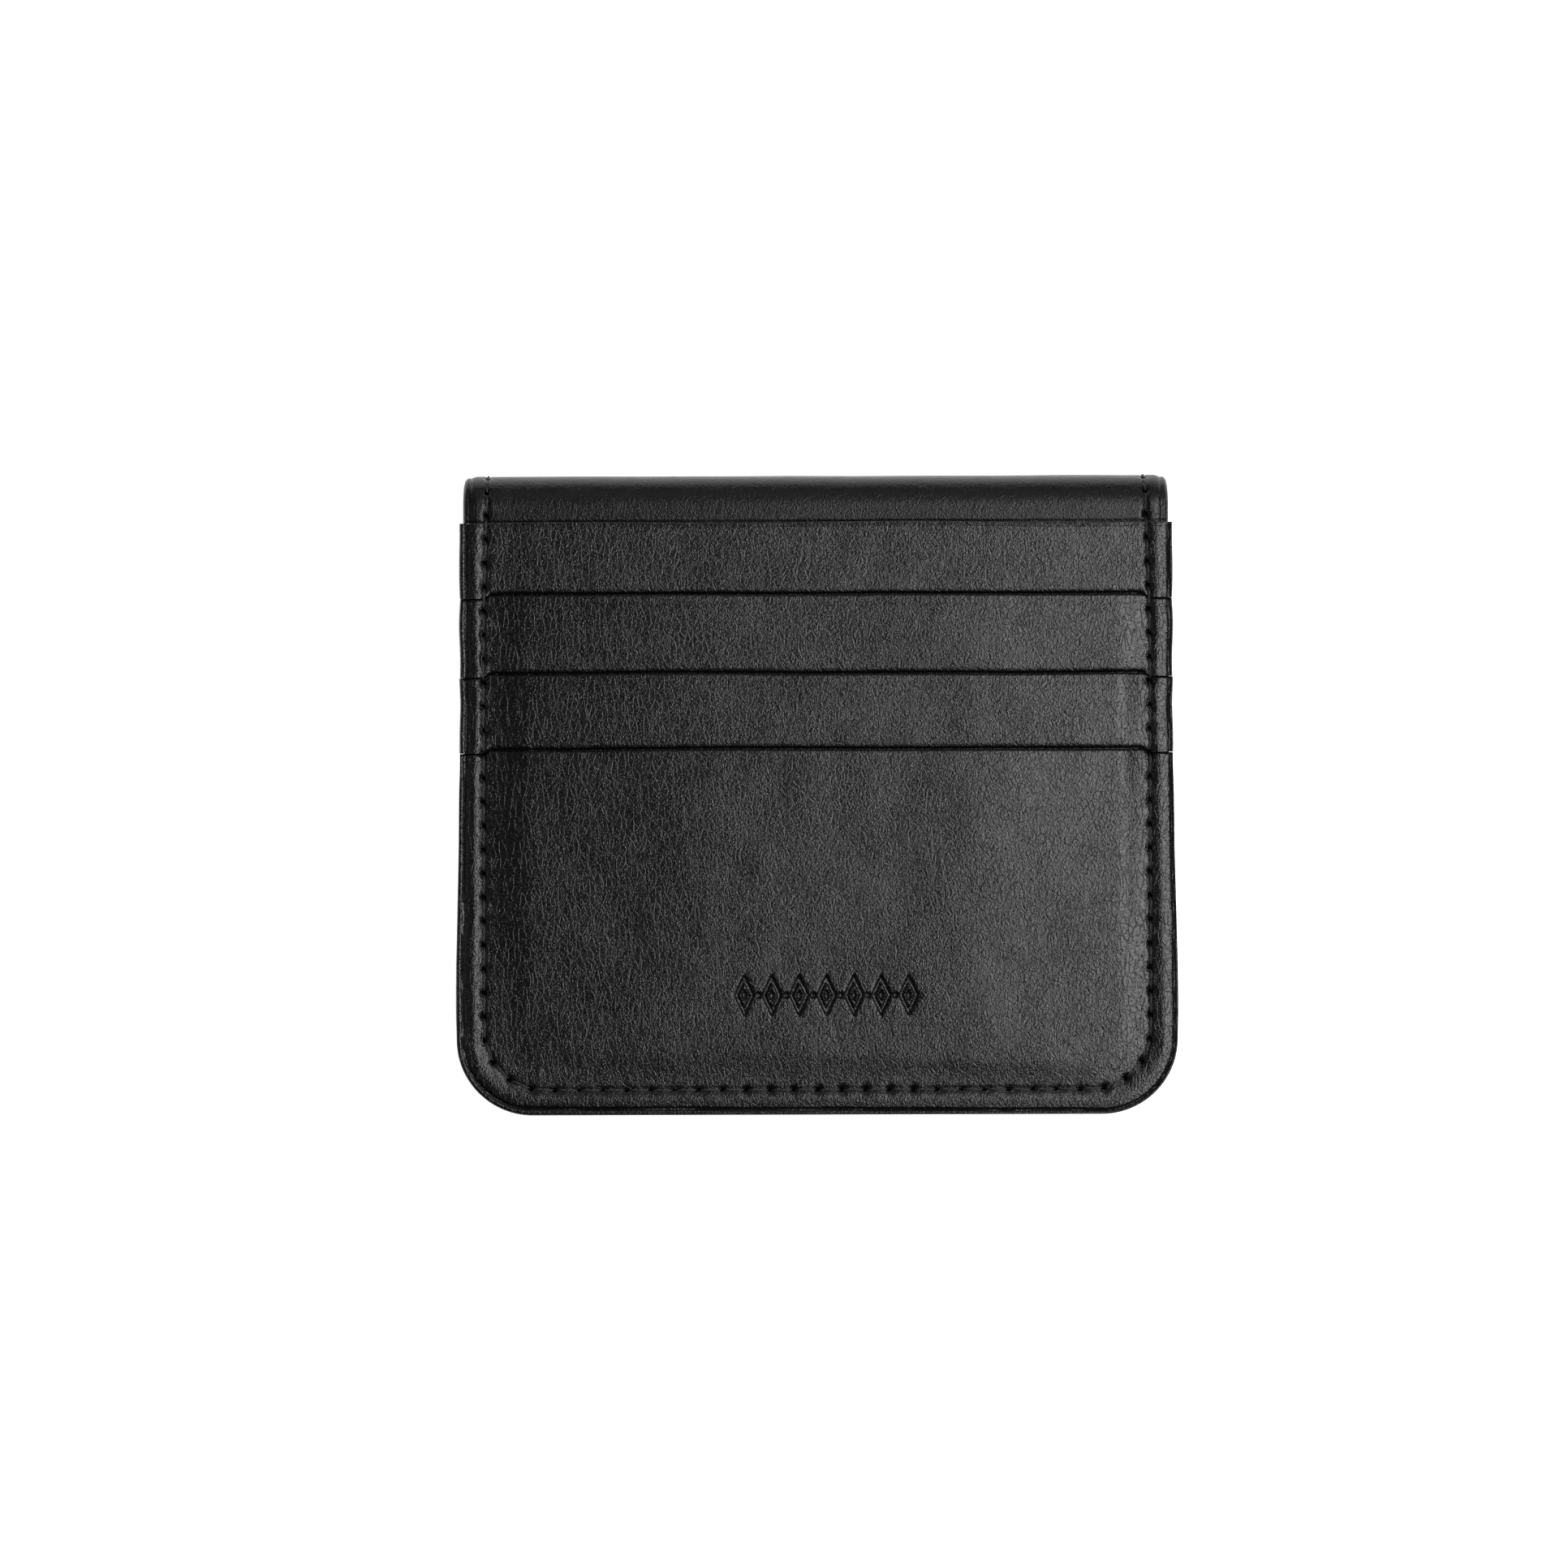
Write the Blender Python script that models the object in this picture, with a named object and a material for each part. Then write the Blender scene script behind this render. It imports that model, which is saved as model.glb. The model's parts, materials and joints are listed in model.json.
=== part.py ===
"""A folding leather card holder, lying closed on its back leaf with the card slots facing up.

Frame, in metres: X across, +Y towards the folded spine, +Z up, and the origin under the middle of
the closed holder, on the surface that it lies on.

The cover is one sheet of leather that runs up the back leaf, round the spine and down the front
leaf. It bends along three lines across the spine, so it is made here in four pieces: the two leaves
and two strips of spine. Most pieces are laid out on the flat cover and then wrapped round it by
around(): x across, s along the cover from the middle of the spine, h out from its outer face.
"""

import math

import bmesh
import bpy

MM = 0.001

# Overall shape, closed
HALF_HEIGHT = 44.4 * MM  # from the middle to the hem, and to the outside of the spine
SPINE_RADIUS = 4.5 * MM  # outer face of the cover where it turns round the spine
COVER_HALF = 48.9 * MM  # half the cover's width
ARM_HALF = 49.6 * MM  # half the width of the slot facings, which turn over the cover's edge
POCKET_HALF = 50.0 * MM  # half the width of the front pocket at its widest
CORNER = 10.6 * MM  # rounding of the front pocket's two corners
SEAM_X = 46.3 * MM  # from the middle to each side seam
SEAM_Y = -40.4 * MM  # the seam along the hem

# Thicknesses
COVER = 1.0 * MM
FACING = 0.6 * MM
BOARD = 0.6 * MM
LINING = 0.3 * MM
SLOT_CLOTH = 0.2 * MM
THREAD_RADIUS = 0.2 * MM
GAP = 0.2 * MM  # between glued or resting layers
AIR = 0.3 * MM  # between the cover and the first layer of slots

# Card slots on the front leaf: the height up the leaf of each mouth, top slot first
MOUTHS = [38.0 * MM, 27.9 * MM, 17.0 * MM, 6.5 * MM]
TONGUE_HALF = 44.6 * MM  # half the width of a facing below its side arms
TONGUE = 15.4 * MM  # a facing's whole height, arms and tongue
SLOT_DEPTH = 46.7 * MM  # from a mouth to the bottom of its slot
CLOTH_HALF = 44.4 * MM
FLARE_END = 2.4  # corner radii above the hem, where the front pocket's sides stop widening

# Pockets inside the two leaves
INNER_HALF = 47.6 * MM
INNER_SLOT_MOUTH = 30.0 * MM
INNER_POCKET_MOUTH = 19.0 * MM
FRONT_INNER_MOUTH = 30.0 * MM

# Depths below the cover's outer face
RIM_END = -2.0 * MM  # the edges of the cover are turned in once
RIM_WIDTH = 1.0 * MM
BOARD_FACE = -COVER - GAP
LINING_FACE = RIM_END - GAP
INNER_FACE = LINING_FACE - LINING - GAP
INNER_TOP_FACE = INNER_FACE - FACING - GAP

# The fold: three bend lines across the spine, a little outside the leather
BEND_RADIUS = SPINE_RADIUS + GAP
BEND_ANGLES = [-60.0, 0.0, 60.0]
CUT_HALF_ANGLE = math.degrees(0.5 * GAP / SPINE_RADIUS)  # half the cut between two strips

# Stitching
THREAD_CLEAR = 0.08 * MM  # between the thread and its groove in the cover
GROOVE_HALF = THREAD_RADIUS + THREAD_CLEAR
GROOVE_DEPTH = 0.55 * MM
THREAD_DEPTH = -GROOVE_DEPTH + THREAD_CLEAR + THREAD_RADIUS
THREAD_CLIMB = 1.2 * MM  # how far ahead of a mouth the thread starts to rise on to it
OVERCUT = 1.0 * MM  # how far a groove's cutter runs past the end of its groove
CUTTER_TOP = 0.5 * MM  # how far a groove's cutter stands out of the leather
SEAM_CORNER = CORNER + SEAM_Y + HALF_HEIGHT - 2 * (POCKET_HALF - SEAM_X)

SPINE_Y = HALF_HEIGHT - SPINE_RADIUS
SPINE_Z = SPINE_RADIUS
QUARTER_TURN = SPINE_RADIUS * math.pi / 2
HEM_Y = -HALF_HEIGHT + FACING + GAP  # hem of the cover, inside the front pocket's edge
FRONT, BACK = 1, -1


# ---------------------------------------------------------------- the cover as a surface


def along(y):
    """How far along the cover, from the middle of the spine, a height y on a leaf is."""
    return QUARTER_TURN + SPINE_Y - y


def arc(angle):
    """How far along the cover an angle round the spine is, in degrees from straight out."""
    return SPINE_RADIUS * math.radians(angle)


def around(x, s, h):
    """The point at x across, s along the cover (positive on the front leaf) and h out from it."""
    radius = SPINE_RADIUS + h
    if abs(s) <= QUARTER_TURN:
        angle = s / SPINE_RADIUS
        return x, SPINE_Y + radius * math.cos(angle), SPINE_Z + radius * math.sin(angle)
    y = SPINE_Y + QUARTER_TURN - abs(s)
    return x, y, SPINE_Z + (radius if s > 0 else -radius)


def off_the_spine(start, steps=4):
    """Distances along the cover from start to where the leaf turns flat."""
    return [start + (QUARTER_TURN - start) * i / steps for i in range(steps + 1)]


def leaf_rows(side, hem, half, corner, steps=8):
    """(s, half width) of a leaf's outline, from its bend line to its hem with rounded corners."""
    rows = [(s, half) for s in off_the_spine(arc(BEND_ANGLES[-1] + CUT_HALF_ANGLE))]
    for i in range(steps + 1):
        turn = math.pi / 2 * (1 - i / steps)
        y = hem + corner * (1 - math.cos(turn))
        rows.append((along(y), half - corner + corner * math.sin(turn)))
    return [(side * s, width) for s, width in rows]


def strip_rows(low, high, half, steps=6):
    """(s, half width) of a strip of spine between two bend lines."""
    low, high = low + CUT_HALF_ANGLE, high - CUT_HALF_ANGLE
    return [(arc(low + (high - low) * i / steps), half) for i in range(steps + 1)]


# ---------------------------------------------------------------- making solids


def make_material(name, color, roughness):
    material = bpy.data.materials.new(name)
    material.use_nodes = True
    shader = material.node_tree.nodes["Principled BSDF"]
    shader.inputs["Base Color"].default_value = (*color, 1.0)
    shader.inputs["Roughness"].default_value = roughness
    shader.inputs["Metallic"].default_value = 0.0
    return material


def make_body(name, location, parent=None):
    """An empty on a bend line, which the pieces of one moving body are parented to."""
    empty = bpy.data.objects.new(name, None)
    bpy.context.scene.collection.objects.link(empty)
    empty.location = location
    bpy.context.view_layer.update()
    if parent:
        attach(empty, parent)
    return empty


def attach(obj, parent):
    obj.parent = parent
    obj.matrix_parent_inverse = parent.matrix_world.inverted()
    bpy.context.view_layer.update()


def make_object(name, mesh, material=None, body=None):
    bmesh.ops.recalc_face_normals(mesh, faces=mesh.faces[:])
    if mesh.calc_volume(signed=True) < 0:
        bmesh.ops.reverse_faces(mesh, faces=mesh.faces[:])
    data = bpy.data.meshes.new(name)
    mesh.to_mesh(data)
    mesh.free()
    obj = bpy.data.objects.new(name, data)
    bpy.context.scene.collection.objects.link(obj)
    if material:
        data.materials.append(material)
    if body:
        attach(obj, body)
    return obj


def rimmed_sheet(name, body, material, side, rows, inner_rows, has_hem):
    """A piece of the cover, its side edges (and its hem, on a leaf) turned in as a rim."""
    columns = [-1.0, -0.5, 0.0, 0.5, 1.0]
    mesh = bmesh.new()

    def grid(outline, h):
        return [
            [mesh.verts.new(around(c * half, s, h)) for c in columns] for s, half in outline
        ]

    outer, inner = grid(rows, 0.0), grid(inner_rows, -COVER)
    rim_outer, rim_inner = grid(rows, RIM_END), grid(inner_rows, RIM_END)
    last_row, last_column = len(rows) - 1, len(columns) - 1

    def quads(grid_a, grid_b, path):
        for (i, j), (m, n) in zip(path, path[1:]):
            mesh.faces.new([grid_a[i][j], grid_a[m][n], grid_b[m][n], grid_b[i][j]])

    for i in range(last_row):
        for j in range(last_column):
            for face in (outer, inner):
                mesh.faces.new(
                    [face[i][j], face[i][j + 1], face[i + 1][j + 1], face[i + 1][j]]
                )
    left = [(i, 0) for i in range(last_row + 1)]
    hem = [(last_row, j) for j in range(last_column + 1)]
    right = [(i, last_column) for i in range(last_row, -1, -1)]
    quads(outer, inner, [(0, j) for j in range(last_column + 1)])
    if has_hem:
        edges = [left + hem[1:-1] + right]
    else:
        quads(outer, inner, hem)
        edges = [left, right]
    for path in edges:
        quads(outer, rim_outer, path)
        quads(rim_outer, rim_inner, path)
        quads(rim_inner, inner, path)
        for i, j in (path[0], path[-1]):
            mesh.faces.new([outer[i][j], rim_outer[i][j], rim_inner[i][j], inner[i][j]])
    loose = [v for v in mesh.verts if not v.link_faces]
    bmesh.ops.delete(mesh, geom=loose, context="VERTS")
    return make_object(name, mesh, material, body)


def wrapped_strip(name, body, material, rows, high, low):
    """A plain strip of lining that follows the inside of the spine."""
    mesh = bmesh.new()
    rings = [
        [
            mesh.verts.new(around(c * half, s, h))
            for c, h in ((-1, high), (1, high), (1, low), (-1, low))
        ]
        for s, half in rows
    ]
    for a, b in zip(rings, rings[1:]):
        for k in range(4):
            mesh.faces.new([a[k], a[(k + 1) % 4], b[(k + 1) % 4], b[k]])
    mesh.faces.new(rings[0])
    mesh.faces.new(rings[-1])
    return make_object(name, mesh, material, body)


def sweep(name, side, path, section, lift=None, body=None, material=None):
    """A bar along a path of (x, s) points; its section is (across the path, h) points.

    lift raises it further, by an amount for each s."""
    mesh = bmesh.new()
    rings = []
    for i, (x, s) in enumerate(path):
        ahead = path[min(i + 1, len(path) - 1)]
        behind = path[max(i - 1, 0)]
        dx, ds = ahead[0] - behind[0], ahead[1] - behind[1]
        length = math.hypot(dx, ds)
        rise = lift(s) if lift else 0.0
        rings.append(
            [
                mesh.verts.new(
                    around(x - across * ds / length, side * (s + across * dx / length), h + rise)
                )
                for across, h in section
            ]
        )
    count = len(section)
    for a, b in zip(rings, rings[1:]):
        for k in range(count):
            mesh.faces.new([a[k], a[(k + 1) % count], b[(k + 1) % count], b[k]])
    mesh.faces.new(rings[0])
    mesh.faces.new(rings[-1])
    return make_object(name, mesh, material, body)


def slab(name, body, material, outline, thickness, height, slope=0.0, pivot_y=0.0):
    """A flat layer: its outline, raised to a height and tilted up towards the spine."""
    mesh = bmesh.new()
    face = mesh.faces.new([mesh.verts.new((x, y - pivot_y, 0.0)) for x, y in outline])
    grown = bmesh.ops.extrude_face_region(mesh, geom=[face])
    moved = [v for v in grown["geom"] if isinstance(v, bmesh.types.BMVert)]
    bmesh.ops.translate(mesh, verts=moved, vec=(0.0, 0.0, thickness))
    obj = make_object(name, mesh, material)
    obj.location = (0.0, pivot_y, height)
    obj.rotation_euler.x = math.atan(slope)
    bpy.context.view_layer.update()
    attach(obj, body)
    return obj


def cut(obj, cutter):
    """Cut a groove or a notch with a hidden helper."""
    cutter.hide_render = True
    cutter.display_type = "WIRE"
    cutter.name = obj.name + "_cutter"
    boolean = obj.modifiers.new("groove", "BOOLEAN")
    boolean.operation = "DIFFERENCE"
    boolean.solver = "EXACT"
    boolean.object = cutter


# ---------------------------------------------------------------- outlines


def pocket_outline(mouth, hem, half_top, half, corner, steps=8):
    """A pocket panel: square at its mouth, round at the two corners of its hem."""
    right = [(half_top, mouth), (half, hem + FLARE_END * corner)]
    for i in range(steps + 1):
        turn = math.pi / 2 * i / steps
        right.append(
            (half - corner + corner * math.cos(turn), hem + corner - corner * math.sin(turn))
        )
    return right + [(-x, y) for x, y in reversed(right)]


def tee_outline(mouth, arm_end, half):
    """A slot facing: two arms that reach the edges, and a tongue that hangs under the next one."""
    tail = mouth - TONGUE
    right = [(half, mouth), (half, arm_end), (TONGUE_HALF, arm_end), (TONGUE_HALF, tail)]
    return right + [(-x, y) for x, y in reversed(right)]


def cloth_outline(top, bottom):
    return [(CLOTH_HALF, top), (CLOTH_HALF, bottom), (-CLOTH_HALF, bottom), (-CLOTH_HALF, top)]


def seam_path(levels):
    """The seam of a leaf, as (x, s): down one side, round the hem's corners and up the other."""
    right = [(SEAM_X, s) for s in levels]
    steps = 6
    for i in range(steps + 1):
        turn = math.pi / 2 * i / steps
        x = SEAM_X - SEAM_CORNER + SEAM_CORNER * math.cos(turn)
        y = SEAM_Y + SEAM_CORNER - SEAM_CORNER * math.sin(turn)
        right.append((x, along(y)))
    return right + [(-x, s) for x, s in reversed(right)]


def round_section(radius, depth, sides=8):
    turns = [2 * math.pi * (i + 0.5) / sides for i in range(sides)]
    return [(radius * math.cos(t), depth + radius * math.sin(t)) for t in turns]


def groove_section():
    return [
        (GROOVE_HALF, CUTTER_TOP),
        (GROOVE_HALF, -GROOVE_DEPTH),
        (-GROOVE_HALF, -GROOVE_DEPTH),
        (-GROOVE_HALF, CUTTER_TOP),
    ]


# ---------------------------------------------------------------- how the slot layers lie


def facing_layers():
    """For each facing: the height of its underside at its mouth above the cover, and its slope.

    Its tail rests on the cloth of the slot behind it, and its upper part on the facing behind it.
    """
    layers = [(AIR, 0.0)]
    cloth_top = AIR + SLOT_CLOTH
    behind_tail, behind_top = MOUTHS[0] - TONGUE, AIR + FACING
    for k in range(1, len(MOUTHS)):
        mouth = MOUTHS[k]
        is_pocket = k == len(MOUTHS) - 1
        tail = MOUTHS[k - 1] - SLOT_DEPTH if is_pocket else mouth - TONGUE
        tail_low = cloth_top + GAP
        slope = (behind_top + GAP - tail_low) / (behind_tail - tail)
        layers.append((tail_low + slope * (mouth - tail), slope))
        cloth_top = tail_low + SLOT_CLOTH
        behind_tail, behind_top = tail, tail_low + FACING
    return layers


def front_surface(y, layers):
    """The height above the cover of the outermost layer at the side seams."""
    height = 0.0
    for mouth, (low, slope) in zip(MOUTHS, layers):
        if y <= mouth:
            height = low + FACING + slope * (y - mouth)
    return height


# ---------------------------------------------------------------- the pieces


def make_covers(bodies, leather):
    """The one sheet of cover leather, in the four pieces that its three bend lines leave."""
    corner = CORNER - (POCKET_HALF - COVER_HALF)
    covers = {}
    for name, side, body in (("front_cover", FRONT, "front_leaf"), ("back_cover", BACK, "back_leaf")):
        rows = leaf_rows(side, HEM_Y, COVER_HALF, corner)
        inner = leaf_rows(side, HEM_Y + RIM_WIDTH, COVER_HALF - RIM_WIDTH, corner - RIM_WIDTH)
        covers[name] = rimmed_sheet(name, bodies[body], leather, side, rows, inner, True)
    for name, low, high in (
        ("spine_upper_cover", BEND_ANGLES[1], BEND_ANGLES[2]),
        ("spine_lower_cover", BEND_ANGLES[0], BEND_ANGLES[1]),
    ):
        rows = strip_rows(low, high, COVER_HALF)
        inner = strip_rows(low, high, COVER_HALF - RIM_WIDTH)
        body = bodies[name.replace("_cover", "")]
        covers[name] = rimmed_sheet(name, body, leather, FRONT, rows, inner, False)
    return covers


def make_stiffeners(bodies, board):
    """A thin board inside each leaf keeps it flat."""
    inset = RIM_WIDTH + AIR
    corner = CORNER - (POCKET_HALF - COVER_HALF) - inset
    outline = pocket_outline(SPINE_Y, HEM_Y + inset, COVER_HALF - inset, COVER_HALF - inset, corner)
    front_z = 2 * SPINE_RADIUS + BOARD_FACE - BOARD
    slab("front_stiffener", bodies["front_leaf"], board, outline, BOARD, front_z)
    slab("back_stiffener", bodies["back_leaf"], board, outline, BOARD, -BOARD_FACE)


def make_linings(bodies, cloth):
    """Cloth lining over the turned-in edges of each leaf and round the inside of the spine."""
    inset = POCKET_HALF - INNER_HALF
    outline = pocket_outline(
        SPINE_Y - GAP, -HALF_HEIGHT + inset, INNER_HALF, INNER_HALF, CORNER - inset
    )
    front_z = 2 * SPINE_RADIUS + LINING_FACE - LINING
    slab("front_lining", bodies["front_leaf"], cloth, outline, LINING, front_z)
    slab("back_lining", bodies["back_leaf"], cloth, outline, LINING, -LINING_FACE)
    for name, low, high in (
        ("spine_upper_lining", BEND_ANGLES[1], BEND_ANGLES[2]),
        ("spine_lower_lining", BEND_ANGLES[0], BEND_ANGLES[1]),
    ):
        rows = strip_rows(low, high, INNER_HALF)
        body = bodies[name.replace("_lining", "")]
        wrapped_strip(name, body, cloth, rows, LINING_FACE, LINING_FACE - LINING)


def make_front_slots(bodies, leather, cloth, layers):
    """Three T-shaped facings, each with its cloth, and the front pocket over them all."""
    body = bodies["front_leaf"]
    cover_z = 2 * SPINE_RADIUS
    for k, name in enumerate(("slot_1", "slot_2", "slot_3")):
        low, slope = layers[k]
        outline = tee_outline(MOUTHS[k], MOUTHS[k + 1] + GAP, ARM_HALF)
        slab(f"{name}_facing", body, leather, outline, FACING, cover_z + low, slope, MOUTHS[k])
        tail = MOUTHS[k] - TONGUE
        cloth_z = cover_z + low - slope * TONGUE
        outline = cloth_outline(tail - GAP, MOUTHS[k] - SLOT_DEPTH)
        slab(f"{name}_cloth", body, cloth, outline, SLOT_CLOTH, cloth_z)
    low, slope = layers[-1]
    outline = pocket_outline(MOUTHS[-1], -HALF_HEIGHT, ARM_HALF, POCKET_HALF, CORNER)
    slab("front_pocket", body, leather, outline, FACING, cover_z + low, slope, MOUTHS[-1])


def make_inner_pockets(bodies, leather, cloth):
    """Inside, a card slot and a pocket on the back leaf and one wide pocket on the front leaf."""
    inset = POCKET_HALF - INNER_HALF
    hem = -HALF_HEIGHT + inset
    corner = CORNER - inset

    def panel(mouth):
        return pocket_outline(mouth, hem, INNER_HALF, INNER_HALF, corner)

    front_z = 2 * SPINE_RADIUS + INNER_FACE - FACING
    slab("front_inner_pocket", bodies["front_leaf"], leather, panel(FRONT_INNER_MOUTH), FACING, front_z)
    back = bodies["back_leaf"]
    outline = tee_outline(INNER_SLOT_MOUTH, INNER_POCKET_MOUTH + GAP, INNER_HALF)
    slab("inner_slot_facing", back, leather, outline, FACING, -INNER_FACE)
    tail = INNER_SLOT_MOUTH - TONGUE
    outline = cloth_outline(tail - GAP, INNER_SLOT_MOUTH - SLOT_DEPTH)
    slab("inner_slot_cloth", back, cloth, outline, SLOT_CLOTH, -INNER_FACE)
    slab("back_inner_pocket", back, leather, panel(INNER_POCKET_MOUTH), FACING, -INNER_TOP_FACE)


def make_seams(bodies, covers, thread, layers):
    """The needle thread on the outside of each body, and the bobbin thread inside each leaf."""
    bend = arc(BEND_ANGLES[-1] + CUT_HALF_ANGLE)
    sunk = round_section(THREAD_RADIUS, THREAD_DEPTH)

    groove = seam_path(off_the_spine(bend - OVERCUT))
    cut(covers["back_cover"], sweep("groove", BACK, groove, groove_section()))
    path = seam_path(off_the_spine(bend))
    sweep("back_needle_thread", BACK, path, sunk, None, bodies["back_leaf"], thread)

    clear = GAP + THREAD_RADIUS - THREAD_DEPTH
    stops = []
    for mouth in MOUTHS:
        stops += [along(mouth + THREAD_CLIMB), along(mouth + AIR)]

    def lift(s):
        """Raise the thread off the cover on to the slots, stepping up ahead of each mouth."""
        y = SPINE_Y + QUARTER_TURN - s
        surface = front_surface(y - AIR - GAP, layers)
        return surface + clear if surface > 0 else 0.0

    for x in (-SEAM_X, SEAM_X):
        levels = off_the_spine(bend - OVERCUT) + [along(MOUTHS[0] - OVERCUT)]
        notch = [(x, s) for s in levels]
        cut(covers["front_cover"], sweep("groove", FRONT, notch, groove_section()))
    path = seam_path(off_the_spine(bend) + stops)
    sweep("front_needle_thread", FRONT, path, sunk, lift, bodies["front_leaf"], thread)

    for name, low, high in (
        ("spine_upper", BEND_ANGLES[1], BEND_ANGLES[2]),
        ("spine_lower", BEND_ANGLES[0], BEND_ANGLES[1]),
    ):
        rows = strip_rows(low, high, SEAM_X)
        for label, x in (("left", -SEAM_X), ("right", SEAM_X)):
            inside = [(x, s) for s, _ in rows]
            longer = [(x, rows[0][0] - OVERCUT)] + inside + [(x, rows[-1][0] + OVERCUT)]
            cut(covers[f"{name}_cover"], sweep("groove", FRONT, longer, groove_section()))
            sweep(f"{name}_thread_{label}", FRONT, inside, sunk, body=bodies[name], material=thread)

    path = seam_path([along(INNER_POCKET_MOUTH)])
    for leaf, side, face in (("front", FRONT, INNER_FACE), ("back", BACK, INNER_TOP_FACE)):
        section = round_section(THREAD_RADIUS, face - FACING - GAP - THREAD_RADIUS)
        body = bodies[f"{leaf}_leaf"]
        sweep(f"{leaf}_bobbin_thread", side, path, section, body=body, material=thread)


def bend_axis(angle):
    turn = math.radians(angle)
    return (
        0.0,
        SPINE_Y + BEND_RADIUS * math.cos(turn),
        SPINE_Z + BEND_RADIUS * math.sin(turn),
    )


def main():
    for obj in list(bpy.data.objects):
        bpy.data.objects.remove(obj, do_unlink=True)

    leather = make_material("black_leather", (0.016, 0.016, 0.017), 0.42)
    cloth = make_material("black_lining", (0.02, 0.02, 0.022), 0.8)
    board = make_material("grey_board", (0.25, 0.24, 0.22), 0.9)
    thread = make_material("black_thread", (0.008, 0.008, 0.009), 0.5)

    bodies = {"back_leaf": make_body("back_leaf", (0.0, 0.0, 0.0))}
    parent = bodies["back_leaf"]
    for name, angle in zip(("spine_lower", "spine_upper", "front_leaf"), BEND_ANGLES):
        parent = bodies[name] = make_body(name, bend_axis(angle), parent)

    layers = facing_layers()
    covers = make_covers(bodies, leather)
    make_stiffeners(bodies, board)
    make_linings(bodies, cloth)
    make_front_slots(bodies, leather, cloth, layers)
    make_inner_pockets(bodies, leather, cloth)
    make_seams(bodies, covers, thread, layers)


main()
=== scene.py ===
"""The looks of a folding leather card holder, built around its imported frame.

Every leather piece is a closed solid made on a grid in the cover's own coordinates: x across, s
along the cover from the middle of the spine (positive on the front leaf) and h out from its outer
face. around() wraps those on to the closed holder, as the frame's pieces are wrapped.
"""

import json
import math

import bmesh
import bpy
import numpy as np
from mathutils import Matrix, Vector, noise


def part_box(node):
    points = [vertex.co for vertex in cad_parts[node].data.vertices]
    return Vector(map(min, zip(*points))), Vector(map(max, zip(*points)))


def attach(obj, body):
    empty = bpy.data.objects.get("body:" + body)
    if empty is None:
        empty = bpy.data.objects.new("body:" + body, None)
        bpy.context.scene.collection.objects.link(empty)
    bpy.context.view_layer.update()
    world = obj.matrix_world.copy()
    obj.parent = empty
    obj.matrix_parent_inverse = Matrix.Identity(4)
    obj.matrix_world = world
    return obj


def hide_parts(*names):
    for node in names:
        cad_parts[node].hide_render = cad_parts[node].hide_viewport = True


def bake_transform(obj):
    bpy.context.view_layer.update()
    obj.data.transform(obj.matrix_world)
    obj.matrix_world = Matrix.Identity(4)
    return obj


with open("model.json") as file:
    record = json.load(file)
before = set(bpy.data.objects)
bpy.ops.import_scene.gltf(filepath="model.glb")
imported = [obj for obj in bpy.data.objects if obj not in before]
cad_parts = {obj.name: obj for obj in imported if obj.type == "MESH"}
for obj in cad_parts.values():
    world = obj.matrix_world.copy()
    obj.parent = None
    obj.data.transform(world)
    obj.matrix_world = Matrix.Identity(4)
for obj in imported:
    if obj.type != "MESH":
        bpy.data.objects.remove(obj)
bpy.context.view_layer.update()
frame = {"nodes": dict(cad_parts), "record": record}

MM = 0.001

# ---------- sizes, read from the frame

BACK_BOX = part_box("back_cover")
FRONT_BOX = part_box("front_cover")
POCKET_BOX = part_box("front_pocket")
SLOTS = ["slot_1", "slot_2", "slot_3"]

SPINE_RADIUS = (FRONT_BOX[1].z - BACK_BOX[0].z) / 2
SPINE_Z = SPINE_RADIUS
SPINE_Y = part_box("spine_upper_cover")[1].y - SPINE_RADIUS
QUARTER_TURN = SPINE_RADIUS * math.pi / 2
COVER_HALF = FRONT_BOX[1].x
HEM = POCKET_BOX[0].y
COVER_HEM = FRONT_BOX[0].y
ARM_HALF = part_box("slot_1_facing")[1].x
POCKET_HALF = POCKET_BOX[1].x
ROLLED = 0.33 * MM  # a rolled mouth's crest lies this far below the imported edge
MOUTHS = [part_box(f"{name}_facing")[1].y - ROLLED for name in SLOTS] + [POCKET_BOX[1].y - ROLLED]
INNER_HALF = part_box("front_lining")[1].x
INNER_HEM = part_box("front_lining")[0].y
INNER_POCKET_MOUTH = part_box("back_inner_pocket")[1].y
INNER_SLOT_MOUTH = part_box("inner_slot_facing")[1].y
FRONT_INNER_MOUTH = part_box("front_inner_pocket")[1].y

FRONT_FACE = 2 * SPINE_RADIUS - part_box("front_inner_pocket")[0].z
SLOT_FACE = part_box("inner_slot_facing")[1].z
BACK_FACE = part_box("back_inner_pocket")[1].z

# ---------- outlines and edges

CORNER = 10.6 * MM  # radius of the front pocket's hem corners
INNER_CORNER = CORNER - (POCKET_HALF - INNER_HALF)
COVER_CORNER = CORNER - (POCKET_HALF - COVER_HALF)
SHOULDER_ROOM = 1.5 * MM  # a grid's columns start to draw in this far before a corner
ARM_TRIM = 0.26 * MM  # the facings' edges lie this far inside the frame's
POCKET_TOP_TRIM = 0.22 * MM  # and the pocket's, at its mouth
POCKET_HEM_TRIM = 0.08 * MM  # and at its hem
COVER_THICK = 1.1 * MM
RIM_DEPTH = 2.0 * MM  # depth of the cover's turned rim
RIM_WIDTH = 1.0 * MM
RIM_ROUND = 0.7 * MM
NOSE = 0.9 * MM  # rounding of the cover's turned edge
LIP = 0.5 * MM  # rounding of the facings' outer edges
TURNED_DEPTH = 1.8 * MM  # the facings' edges turn down this far over the cover's
TURNED_WIDTH = 0.62 * MM
MOUTH_ROLL = 0.34 * MM
FIRST_ROLL = 0.18 * MM  # the first mouth is rolled tighter
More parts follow.
